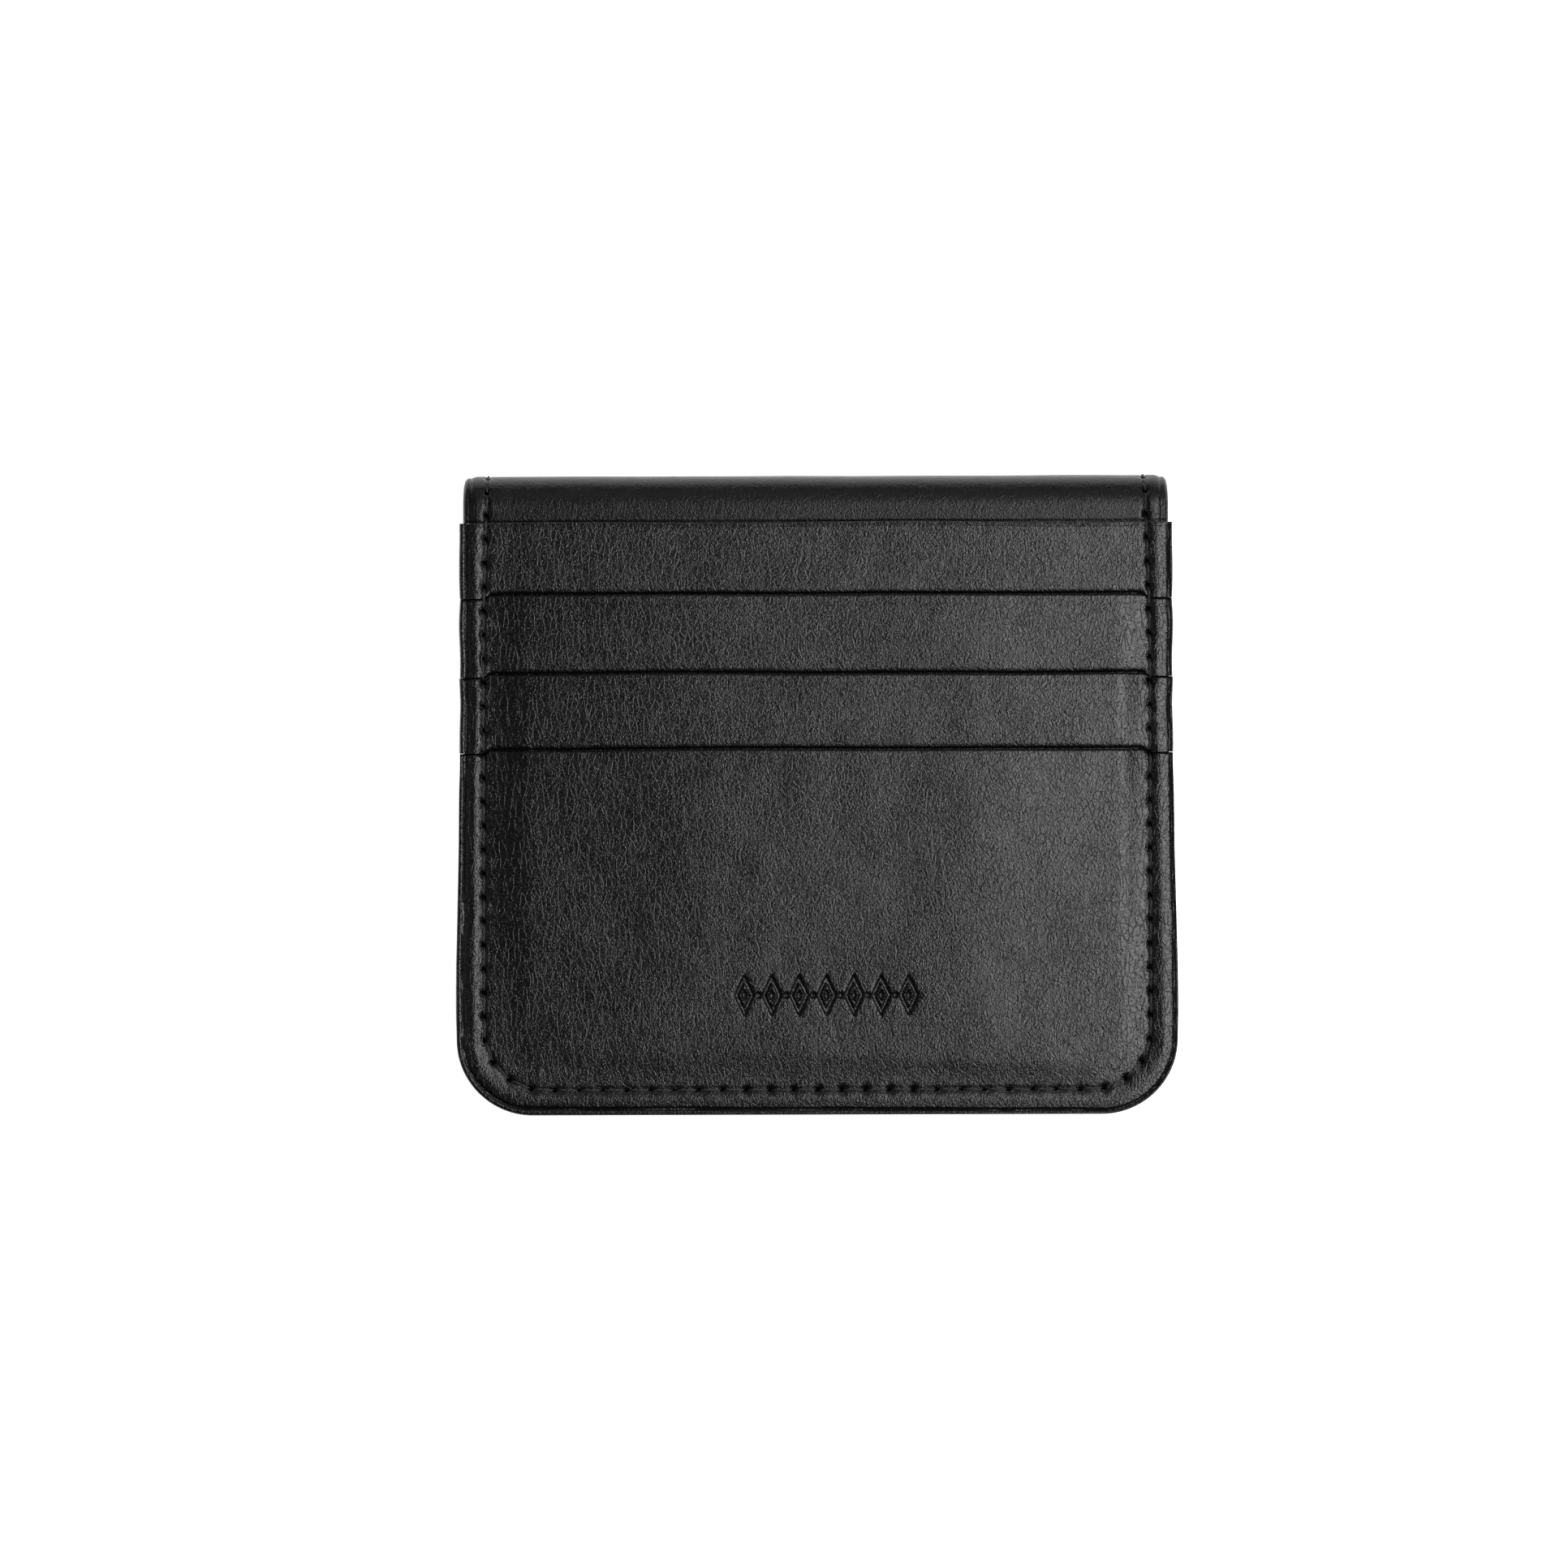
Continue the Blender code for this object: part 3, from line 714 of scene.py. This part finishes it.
def sag(x, k):
    """How a mouth's edge wanders from a straight line, and dips at the seams."""
    side = np.abs(x) - SEAM_X
    drift = wave(x, 0 * x, MOUTH_WAVE, 2.7 * k) * ramp(side, 0.0, -3 * MM)
    drop = SHALLOW_DIP if k in SHALLOW_MOUTHS else MOUTH_DIP
    return drift - drop * ramp(side, -1.1 * MM, 0.5 * MM)


def plateau(k, y):
    """The height of layer k in the middle: it falls away from its mouth."""
    following = MOUTHS[k + 1] if k < 3 else HEM
    share = np.clip((MOUTHS[k] - y) / (MOUTHS[k] - following), 0, 1.6)
    return RISES[k] - FALLS[k] * share


def body_height(k, x, y):
    """The smooth shape of layer k: sewn down at the edges, and sloping off left and right."""
    rise = plateau(k, y) - MARGIN
    lean_right = np.maximum(x - RIGHT_BEND_X, 0.0) / (SEAM_X - RIGHT_BEND_X)
    lean_left = np.maximum(-x - LEFT_BEND_X, 0.0) / (SEAM_X - LEFT_BEND_X)
    slope = 1 - RIGHT_FALL * lean_right - LEFT_FALL * lean_left**LEFT_CURVE
    reach = LIFT_REACH - MM * np.clip(x / (25 * MM), -1, 1)
    return MARGIN + rise * slope * ramp(seam_distance(x, y), 0.2 * MM, reach)


def layer_top(k, x, y, s, d):
    """The outer surface of a facing or of the front pocket."""
    inward = seam_distance(x, y)
    lifted = ramp(inward, 0.3 * MM, 4.2 * MM)
    at_mouth = MOUTHS[k] - y
    bead = ridge(at_mouth, MOUTH_BEAD)
    if k == 0:
        hollow = ridge(at_mouth, FIRST_HOLLOW)
    else:
        hollow = ridge(at_mouth, HOLLOW) + ridge(at_mouth, MOUTH_FALL)
    tucked = 0.0
    if k < 3:
        above = y - MOUTHS[k + 1]
        tucked = (ridge(above, SLACK) + ridge(above, TUCK)) * ramp(inward, 0.2 * MM, 1.3 * MM)
    relief = margin_relief(x, y, s, d) + swell(x, y, 1.3 * k) * lifted
    return body_height(k, x, y) + relief + bead - hollow - tucked - rounded_drop(d, LIP)


def turned_edge(top, under, d):
    """The underside of a layer, which turns down over the cover's edge."""
    return np.where(d < TURNED_WIDTH, -TURNED_DEPTH, np.minimum(under, top - LEAST_THICK))


def facing(k, name, material):
    """One slot's facing: arms that turn down over the cover's edges, and a hidden tongue."""
    mouth, arm_end = MOUTHS[k], MOUTHS[k + 1] + ARM_OVERLAP
    rows = tongued_rows(mouth, arm_end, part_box(f"{name}_facing")[0].y)
    x, y = np.meshgrid(columns_across(ARM_HALF), rows)
    half = ARM_HALF - ARM_TRIM + wave(0 * y, y, ARM_WAVE, k)
    x = x * half / ARM_HALF
    d = half - np.abs(x)
    at_arm_end = bell(y, arm_end, SAG_REACH) * (y >= arm_end)
    y_shown = y + sag(x, k) * bell(y, mouth, SAG_REACH) + sag(x, k + 1) * at_arm_end
    body = body_height(k, x, y)
    s = along(y_shown)
    shown = layer_top(k, x, y, s, d)
    shown = shown - rounded_drop(np.maximum(mouth - y, 0.0), MOUTH_ROLL if k else FIRST_ROLL)
    sunk = np.minimum(body - TONGUE_SUNK, body_height(k + 1, x, y) - LEATHER - TONGUE_CLEAR)
    tongue = body + (sunk - body) * ramp(arm_end - y, 0.0, TONGUE_SLOPE)
    in_tongue = y < arm_end - TINY
    top = np.where(in_tongue, tongue, shown)
    thick = np.where(in_tongue, TONGUE_THICK, LEATHER)
    bottom = turned_edge(top, np.maximum(top - thick, CLEAR), d)
    keep = tongued_cells(x, rows, arm_end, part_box(f"{name}_cloth")[1].x)
    obj = grid_solid(f"{name}_facing_leather", material, x, s, top, bottom, keep)
    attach(obj, "front_leaf")
    dress(obj, "pocket_leather", f"{name}_facing")


# ---------- the pressed ornament


def ornament(x, y):
    """Depth of a pressed row of lozenges, each a sunk outline round a sunk seed, with studs between."""
    step = 2 * (ORNAMENT_HALF - LOZENGE_WIDE) / (LOZENGES - 1)
    local = x - ORNAMENT_X + ORNAMENT_HALF - LOZENGE_WIDE
    number = np.clip(np.round(local / step), 0, LOZENGES - 1)
    reach = np.abs(local - number * step) / LOZENGE_WIDE + np.abs(y - ORNAMENT_Y) / LOZENGE_TALL
    outer = ramp(reach, OUTLINE_OUTER, OUTLINE_OUTER - LOZENGE_WALL)
    outline = outer * ramp(reach, OUTLINE_INNER, OUTLINE_INNER + LOZENGE_WALL)
    seed = ramp(reach, SEED_EDGE, SEED_EDGE - LOZENGE_WALL)
    stud_at = (number + np.sign(local - number * step) * 0.5) * step
    from_stud = np.hypot(np.abs(local - stud_at) / STUD, (y - ORNAMENT_Y) / STUD)
    inside_row = (local > -0.3 * step) & (local < (LOZENGES - 0.7) * step)
    stud = ramp(from_stud, 1.0, 0.6) * inside_row
    halo = HALO_DEPTH * ramp(reach, 1.5, 0.9)
    return -ORNAMENT_DEPTH * np.maximum(np.maximum(outline, seed), stud) - halo


def front_pocket(material):
    """The tall pocket: round lower corners, an edge turned down over the cover, an ornament."""
    mouth = MOUTHS[3]
    flat = columns_across(POCKET_HALF)
    left, right = ORNAMENT_X - ORNAMENT_HALF, ORNAMENT_X + ORNAMENT_HALF
    low, high = ORNAMENT_Y - LOZENGE_TALL - 0.5 * MM, ORNAMENT_Y + LOZENGE_TALL + 0.5 * MM
    beside = flat[(flat < left - 0.4 * MM) | (flat > right + 0.4 * MM)]
    columns = np.sort(np.concatenate([beside, graded([(left, ORNAMENT_STEP), (right, 0.0)])]))
    corner = corner_rows(HEM, CORNER, POCKET_CORNER_STEPS)
    rows = np.concatenate([
        mouth_rows(mouth, high),
        graded([(low, ORNAMENT_STEP), (high, 0.0)])[::-1][1:],
        graded([(corner[0], 0.4 * MM), (low, 0.0)])[::-1][1:],
        corner[1:],
    ])
    u, y = np.meshgrid(columns, rows)
    half_top, half_hem = ARM_HALF - POCKET_TOP_TRIM, POCKET_HALF - POCKET_HEM_TRIM
    half = half_width(y, half_top, half_hem, CORNER, HEM, mouth)
    half = half + wave(0 * y, y, POCKET_WAVE) * ramp(y, HEM + 4 * MM, HEM + 12 * MM)
    x = squeezed(u, half, POCKET_HALF, CORNER)
    straight = half_width(np.maximum(y, HEM + CORNER), ARM_HALF, POCKET_HALF, CORNER, HEM, mouth)
    d = np.maximum(edge_distance(x, y, straight, HEM, CORNER), 0.0)
    s = along(y + sag(x, 3) * bell(y, mouth, SAG_REACH))
    top = layer_top(3, x, y, s, d) + ornament(x, y)
    top = top - rounded_drop(np.maximum(mouth - y, 0.0), MOUTH_ROLL)
    bottom = turned_edge(top, np.maximum(top - LEATHER, CLEAR), d)
    obj = grid_solid("front_pocket_leather", material, x, s, top, bottom)
    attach(obj, "front_leaf")
    dress(obj, "pocket_leather", "front_pocket")


# ---------- the cover


def cover_solid(name, material, side, x, level, d):
    """A piece of the cover over a grid of x and of distance from the middle of the spine."""
    y = height_on_leaf(level)
    inward = seam_distance(x, y)
    holes = nearest_mark(x, np.abs(level))
    covered = along(MOUTHS[0]) + 2 * MM
    stitched = 1.0 if side == BACK else ramp(level, covered + 2 * MM, covered)
    groove = -GROOVE * bell(inward, 0.0, COVER_GROOVE_WIDTH)
    dimples = -DIMPLE * bell(holes, 0.0, COVER_DIMPLE_WIDTH)
    roll = ridge(d, COVER_ROLL) - COVER_ROLL[0] * ramp(d, 4 * MM, 1 * MM)
    crease = -ridge(d - wave(x, level, COVER_CREASE_WAVE), COVER_CREASE)
    shape = (groove + dimples + crease + roll) * stitched
    waves = wave(x, level, COVER_WAVE, side) * ramp(d, 0.5 * MM, 5 * MM)
    pressed = ridge(y - MOUTHS[0], COVER_TUCK) if side == FRONT else 0.0
    top = np.minimum(shape + waves - 0.03 * MM - pressed, 0.0) - rounded_drop(d, NOSE)
    bottom = np.where(d < RIM_WIDTH, -RIM_DEPTH + rounded_drop(d, RIM_ROUND), -COVER_THICK)
    bottom = np.minimum(bottom, top - 0.05 * MM)
    return grid_solid(name, material, x, side * level, top, bottom)


def cover_leaf(name, material, side):
    """One leaf of the cover, with its third of the fold."""
    mouth = along(MOUTHS[0])
    corner = along(corner_rows(COVER_HEM, COVER_CORNER, COVER_CORNER_STEPS))
    flat = graded([
        (QUARTER_TURN, 0.3 * MM),
        (mouth - 0.6 * MM, 0.12 * MM),
        (mouth + 0.3 * MM, 0.45 * MM),
        (corner[0], 0.0),
    ])
    rows = np.concatenate([
        graded([(MIDDLE_TURN, FOLD_STEP), (QUARTER_TURN, 0.0)]),
        flat[1:-1],
        corner,
    ])
    u, level = np.meshgrid(columns_across(COVER_HALF, COVER_STEP), rows)
    y = height_on_leaf(level)
    half = half_width(y, COVER_HALF, COVER_HALF, COVER_CORNER, COVER_HEM, SPINE_Y)
    x = squeezed(u, half, COVER_HALF, COVER_CORNER)
    d = np.maximum(edge_distance(x, y, COVER_HALF, COVER_HEM, COVER_CORNER), 0.0)
    return cover_solid(name, material, side, x, level, d)


def cover_fold(name, material):
    """The middle third of the fold."""
    rows = graded([(-MIDDLE_TURN, FOLD_STEP), (MIDDLE_TURN, 0.0)])
    x, level = np.meshgrid(columns_across(COVER_HALF, COVER_STEP), rows)
    return cover_solid(name, material, FRONT, x, level, COVER_HALF - np.abs(x))


def bend_with(obj, zone):
    """Bakes the piece's transform into its mesh; the zone names two bodies and a third of the fold, but
    nothing bends the piece between them.
    """
    first, second, start, end = ZONES[zone]
    Vector(around(0.0, start, 0.0))
    Vector(around(0.0, end, 0.0))
    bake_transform(obj)


def cover(material):
    """The leather cover, in three pieces along the fold."""
    back = cover_leaf("back_cover_leather", material, BACK)
    bend_with(back, "back")
    dress(back, "cover_leather", "back_cover")
    fold = cover_fold("spine_cover_leather", material)
    bend_with(fold, "spine")
    dress(fold, "cover_leather", "spine_lower_cover", "spine_upper_cover")
    front = cover_leaf("front_cover_leather", material, FRONT)
    bend_with(front, "front")
    dress(front, "cover_leather", "front_cover")


# ---------- stitches


def tube(points, radius, sides=6):
    """A closed round bar along points, as (vertices, faces)."""
    points = np.asarray(points)
    ahead = np.gradient(points, axis=0)
    ahead /= np.linalg.norm(ahead, axis=1)[:, None]
    across = np.cross(ahead, (0.31, 0.17, 0.93))
    across /= np.linalg.norm(across, axis=1)[:, None]
    up = np.cross(across, ahead)
    turns = np.linspace(0, 2 * math.pi, sides, endpoint=False)[None, :, None]
    rings = points[:, None] + radius * (np.cos(turns) * across[:, None] + np.sin(turns) * up[:, None])
    faces = []
    for i in range(len(points) - 1):
        for j in range(sides):
            a, b = i * sides + j, i * sides + (j + 1) % sides
            faces.append((a, b, b + sides, a + sides))
    faces.append(tuple(range(sides))[::-1])
    faces.append(tuple(range((len(points) - 1) * sides, len(points) * sides)))
    return rings.reshape(-1, 3), faces


def stitch(first, second, level, outward):
    """One stitch of two-ply thread from hole to hole, lying on the leather at level(x, s)."""
    t = np.linspace(0.0, 1.0, 13)
    x = first[0] + (second[0] - first[0]) * t
    s = first[1] + (second[1] - first[1]) * t
    span = math.hypot(second[0] - first[0], second[1] - first[1])
    arch = np.sin(math.pi * t) ** 0.45
    centre = level(x, s) + outward * (THREAD_RISE - THREAD_DIP * (1 - arch))
    direction = ((second[0] - first[0]) / span, (second[1] - first[1]) / span)
    pieces = []
    for ply in (0, math.pi):
        turn = 2 * math.pi * span * t / TWIST + ply
        aside = PLY_OFFSET * np.cos(turn)
        height = centre + PLY_OFFSET * np.sin(turn)
        path = around(x - aside * direction[1], s + aside * direction[0], height)
        pieces.append(tube(path, PLY))
    return pieces


def hole(mark, level, outward):
    """The bottom of one needle hole: a dark disc of painted shade."""
    n = HOLE_SIDES
    turns = np.linspace(0, 2 * math.pi, n, endpoint=False)
    x, s = mark[0] + HOLE * np.cos(turns), mark[1] + HOLE * np.sin(turns)
    h = level(np.full(n, mark[0]), np.full(n, mark[1]))
    upper = around(x, s, h - outward * HOLE_SUNK)
    lower = around(x, s, h - outward * HOLE_DEPTH)
    faces = [tuple(range(n)), tuple(range(n, 2 * n))[::-1]]
    faces += [(j, (j + 1) % n, n + (j + 1) % n, n + j) for j in range(n)]
    return np.concatenate([upper, lower]), faces


def joined(name, pieces, material):
    """Several closed pieces as one object."""
    verts, faces = [], []
    for some, flats in pieces:
        faces += [tuple(i + len(verts) for i in face) for face in flats]
        verts += [tuple(v) for v in some]
    obj = new_object(name, verts, faces, material)
    tidy_normals(obj)
    return obj


def outer_level(x, s):
    """The bottom of the groove that the outer seam lies in."""
    mouth = along(MOUTHS[0])
    on_slots = np.where(s > 0, ramp(s, mouth - 0.5 * MM, mouth + 0.2 * MM), 0.0)
    return MARGIN * on_slots - GROOVE - COVER_SUNK * (1 - on_slots)


def inner_level(x, s):
    """The surface that the bobbin's seam lies on, inside the leaves."""
    y = height_on_leaf(s)
    front = np.where(y < FRONT_INNER_MOUTH, FRONT_MARGIN, LINING_MARGIN)
    back = np.where(y < INNER_SLOT_MOUTH, SLOT_MARGIN, LINING_MARGIN)
    back = np.where(y < INNER_POCKET_MOUTH, BACK_MARGIN, back)
    return -np.where(s > 0, front, back)


SPINE_THREADS = [f"spine_{part}_thread_{end}" for part in ("upper", "lower") for end in ("left", "right")]
THREADS = {  # the nodes of the needle's thread and of the bobbin's, by zone
    "back": (["back_needle_thread"], ["back_bobbin_thread"]),
    "spine": (SPINE_THREADS, []),
    "front": (["front_needle_thread"], ["front_bobbin_thread"]),
}


def zone_of(first, second):
    """The zone of the fold that a stitch lies in."""
    middle = (first[1] + second[1]) / 2
    if abs(middle) < MIDDLE_TURN:
        return "spine"
    return "front" if middle > 0 else "back"


def sew(zone, side_name, loop, level, outward, nodes, thread, dark):
    """The stitches and needle holes of one zone, outside or inside the leaves."""
    here = [(first, second) for first, second in loop if zone_of(first, second) == zone]
    plies = [ply for first, second in here for ply in stitch(first, second, level, outward)]
    sewn = joined(f"{zone}_{side_name}_stitches", plies, thread)
    bend_with(sewn, zone)
    dress(sewn, "thread", *nodes)
    # each needle hole gets a dark disc of painted shade
    holes = [hole(first, level, outward) for first, _ in here]
    pierced = joined(f"{zone}_{side_name}_needle_holes", holes, dark)
    bend_with(pierced, zone)
    dress(pierced, "cover_leather")


def seams(thread, dark):
    """The needle's seam outside and the bobbin's seam inside, each in three zones of the fold."""
    half = len(MARKS[BACK]) // 2
    marks = np.concatenate([MARKS[BACK][:half][::-1], MARKS[FRONT], MARKS[BACK][half:][::-1]])
    loop = list(zip(marks, np.roll(marks, -1, axis=0)))
    for zone, (needle, bobbin) in THREADS.items():
        sew(zone, "outer", loop, outer_level, 1, needle, thread, dark)
        sew(zone, "inner", loop, inner_level, -1, bobbin, thread, dark)


# ---------- the inside panels


def panel_grid(mouth, half, hem, corner, columns, rows):
    """Points of a panel that is square at its mouth and round at its hem, and their edge distance."""
    u, y = np.meshgrid(columns, rows)
    x = squeezed(u, half_width(y, half, half, corner, hem, mouth), half, corner)
    straight = half_width(np.maximum(y, hem + corner), half, half, corner, hem, mouth)
    return x, y, np.maximum(edge_distance(x, y, straight, hem, corner), 0.0)


def inner_depth(x, y, d, face, margin, mouth, seed):
    """How deep in the holder the visible side of an inner panel lies."""
    inward = seam_distance(x, y)
    lifted = ramp(inward, 0.3 * MM, 3.5 * MM)
    holes = nearest_mark(x, along(y))
    pulled = ridge(inward, PANEL_GROOVE) + ridge(holes, PANEL_DIMPLE)
    waves = wave(x, y, PANEL_WAVE, seed) * lifted
    bead = ridge(mouth - y, PANEL_BEAD)
    depth = margin + (face - 0.05 * MM - margin) * lifted - pulled + waves + bead
    return depth - rounded_drop(d, PANEL_ROUND) - rounded_drop(np.maximum(mouth - y, 0.0), PANEL_ROUND)


def panel_back(depth):
    """The hidden side of an inner panel."""
    return np.minimum(np.maximum(depth - PANEL_THICK, PANEL_BACK), depth - PANEL_LEAST)


def inner_pocket(name, material, side, body, node, face, margin, mouth):
    """A full-height pocket inside one leaf."""
    rows = np.concatenate([
        mouth_rows(mouth, INNER_HEM + INNER_CORNER, 0.6 * MM),
        corner_rows(INNER_HEM, INNER_CORNER, INNER_CORNER_STEPS)[1:],
    ])
    columns = columns_across(INNER_HALF)
    x, y, d = panel_grid(mouth, INNER_HALF, INNER_HEM, INNER_CORNER, columns, rows)
    depth = inner_depth(x, y, d, face, margin, mouth, 12.5 + side)
    sag_y = y + 0.6 * sag(x, INNER_MOUTH + side) * bell(y, mouth, SAG_REACH)
    obj = grid_solid(name, material, x, side * along(sag_y), -panel_back(depth), -depth)
    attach(obj, body)
    dress(obj, "inner_leather", node)


def inner_slot(material):
    """The card slot above the back leaf's inner pocket, with its tongue behind the pocket."""
    mouth, arm_end = INNER_SLOT_MOUTH, INNER_POCKET_MOUTH + ARM_OVERLAP
    rows = tongued_rows(mouth, arm_end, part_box("inner_slot_facing")[0].y)
    x, y = np.meshgrid(columns_across(INNER_HALF), rows)
    depth = inner_depth(x, y, INNER_HALF - np.abs(x), SLOT_FACE, SLOT_MARGIN, mouth, 21.5)
    depth = depth - 0.25 * MM * ramp(arm_end - y, 0.0, 1.0 * MM)
    keep = tongued_cells(x, rows, arm_end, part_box("inner_slot_cloth")[1].x)
    name = "inner_slot_facing_leather"
    obj = grid_solid(name, material, x, -along(y), -panel_back(depth), -depth, keep)
    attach(obj, "back_leaf")
    dress(obj, "inner_leather", "inner_slot_facing")


# ---------- woven linings and slot cloths


def lining(name, material, side, zone, node):
    """A leaf's cloth lining, which runs on round its third of the fold."""
    corner = along(corner_rows(INNER_HEM, INNER_CORNER, LINING_CORNER_STEPS))
    rows = np.concatenate([
        graded([(MIDDLE_TURN, 0.2 * MM), (QUARTER_TURN, 0.9 * MM), (corner[0], 0.0)]),
        corner[1:],
    ])
    columns = columns_across(INNER_HALF, CLOTH_STEP)
    heights = height_on_leaf(rows)
    x, y, _ = panel_grid(SPINE_Y, INNER_HALF, INNER_HEM, INNER_CORNER, columns, heights)
    ripple = wave(x, y, LINING_WAVE, side) * ramp(y, INNER_HEM, INNER_HEM + 9 * MM)
    depth = LINING_FACE + ripple
    obj = grid_solid(name, material, x, side * along(y), -depth + LINING_THICK, -depth)
    bend_with(obj, zone)
    dress(obj, "lining_cloth", node)
    return obj


def spine_lining(material):
    """The strip of lining over the middle third of the fold."""
    rows = graded([(-MIDDLE_TURN, 0.2 * MM), (MIDDLE_TURN, 0.0)])
    x, s = np.meshgrid(columns_across(INNER_HALF, CLOTH_STEP), rows)
    depth = LINING_FACE + wave(x, s, LINING_WAVE, 3.0)
    obj = grid_solid("spine_lining_cloth", material, x, s, -depth + LINING_THICK, -depth)
    bend_with(obj, "spine")
    dress(obj, "lining_cloth", "spine_upper_lining", "spine_lower_lining")
    return obj


def slot_cloth(name, material, side, body, node, level):
    """The cloth that closes a slot at its bottom, hanging from its facing's tongue."""
    low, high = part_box(node)
    rows = graded([(low.y, 1.0 * MM), (high.y, 0.0)])
    x, y = np.meshgrid(columns_across(high.x, CLOTH_STEP), rows)
    h = level(x, y) + wave(x, y, SLOT_CLOTH_WAVE, high.y)
    obj = grid_solid(name, material, x, side * along(y), h, h - CLOTH_THICK)
    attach(obj, body)
    dress(obj, "lining_cloth", node)


def under_facing(k):
    """The height of slot k's cloth: the frame's, or as much lower as the next facings press it."""
    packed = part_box(f"{SLOTS[k]}_cloth")[1].z - 2 * SPINE_RADIUS

    def level(x, y):
        pocket = body_height(3, x, np.minimum(y, MOUTHS[3]))
        above = np.minimum(body_height(k + 1, x, y), pocket)
        return np.clip(above - LEATHER - SLOT_CLOTH_DROPS[k], LEAST_THICK, packed)

    return level


def cloths(material):
    """Every piece of woven cloth."""
    spine = spine_lining(material)
    front = lining("front_lining_cloth", material, FRONT, "front", "front_lining")
    back = lining("back_lining_cloth", material, BACK, "back", "back_lining")
    for k, name in enumerate(SLOTS):
        node = f"{name}_cloth"
        slot_cloth(f"{node}_sheet", material, FRONT, "front_leaf", node, under_facing(k))

    def inner_level_of_cloth(x, _):
        return np.full_like(x, -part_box("inner_slot_cloth")[0].z)

    node = "inner_slot_cloth"
    slot_cloth(f"{node}_sheet", material, BACK, "back_leaf", node, inner_level_of_cloth)


# ---------- stage, light and camera


def pale_floor():
    """A plain white table that stays white in the picture."""
    nodes = Nodes("pale_floor")
    tone = nodes.noise(place_in_mm(nodes), 0.002, 1.0)
    color = nodes.mix(tone, (0.9, 0.9, 0.9, 1.0), (0.92, 0.92, 0.92, 1.0))
    nodes.surface(color, 0.9)
    nodes.shader.inputs["Emission Color"].default_value = (1.0, 1.0, 1.0, 1.0)
    nodes.shader.inputs["Emission Strength"].default_value = FLOOR_GLOW
    bpy.ops.mesh.primitive_plane_add(size=8.0, location=(0, 0, -0.0002))
    floor = bpy.context.object
    floor.name = "floor"
    floor.data.materials.append(nodes.material)


def area_light(name, location, target, size, power):
    data = bpy.data.lights.new(name, "AREA")
    data.shape = "RECTANGLE"
    data.size, data.size_y = size
    data.energy = power
    light = bpy.data.objects.new(name, data)
    bpy.context.scene.collection.objects.link(light)
    light.location = location
    light.rotation_euler = (Vector(target) - Vector(location)).to_track_quat("-Z", "Y").to_euler()


def studio():
    """A wide soft light to the right, which the leather's right side mirrors, and two weak ones."""
    area_light("key", **KEY)
    area_light("back", **BACK_LIGHT)
    area_light("fill", **FILL)
    world = bpy.data.worlds.new("studio")
    bpy.context.scene.world = world
    world.use_nodes = True
    background = world.node_tree.nodes["Background"]
    background.inputs["Color"].default_value = (1.0, 1.0, 1.0, 1.0)
    background.inputs["Strength"].default_value = WORLD_STRENGTH


def camera():
    """Straight above the holder, a little to the left."""
    data = bpy.data.cameras.new("camera")
    data.lens = LENS
    data.sensor_width = SENSOR
    data.clip_start, data.clip_end = 0.01, 20.0
    cam = bpy.data.objects.new("camera", data)
    bpy.context.scene.collection.objects.link(cam)
    cam.location = CAMERA_AT
    cam.rotation_euler = (0.0, 0.0, CAMERA_ROLL)
    bpy.context.scene.camera = cam


def finish_nodes(finishes):
    """Gives every node of the frame the material of its slot."""
    slots = {row["node"]: row["material_slot"] for row in frame["record"]["subparts"]}
    for name, node in frame["nodes"].items():
        node.data.materials.clear()
        node.data.materials.append(finishes[slots[name]])


def main():
    black = leather("black_leather", math.radians(12))
    pocket_material = leather("pocket_leather", math.radians(-14))
    inner_material = leather("inner_leather", math.radians(5), gloss=0.36, grain=0.8)
    cloth = woven_cloth("black_cloth")
    board = pressed_board("grey_board")
    thread = waxed_thread("black_thread")

    cover(leather("cover_leather", math.radians(12), gloss=0.22, grain=0.8, shine=0.38))
    for k, name in enumerate(SLOTS):
        facing(k, name, pocket_material)
    front_pocket(pocket_material)
    # the needle holes are dark discs of painted shade
    seams(thread, needle_hole_shade("needle_hole_shade"))
    inner_slot(inner_material)
    front_inner = (FRONT, "front_leaf", "front_inner_pocket", FRONT_FACE, FRONT_MARGIN, FRONT_INNER_MOUTH)
    inner_pocket("front_inner_pocket_leather", inner_material, *front_inner)
    back_inner = (BACK, "back_leaf", "back_inner_pocket", BACK_FACE, BACK_MARGIN, INNER_POCKET_MOUTH)
    inner_pocket("back_inner_pocket_leather", inner_material, *back_inner)
    cloths(cloth)
    finish_nodes({
        "inner_leather": inner_material,
        "lining_cloth": cloth,
        "stiffener_board": board,
        "thread": thread,
        "cover_leather": black,
        "pocket_leather": pocket_material,
    })

    pale_floor()
    studio()
    camera()
    scene = bpy.context.scene
    scene.view_settings.view_transform = "Standard"
    scene.view_settings.look = "None"


main()
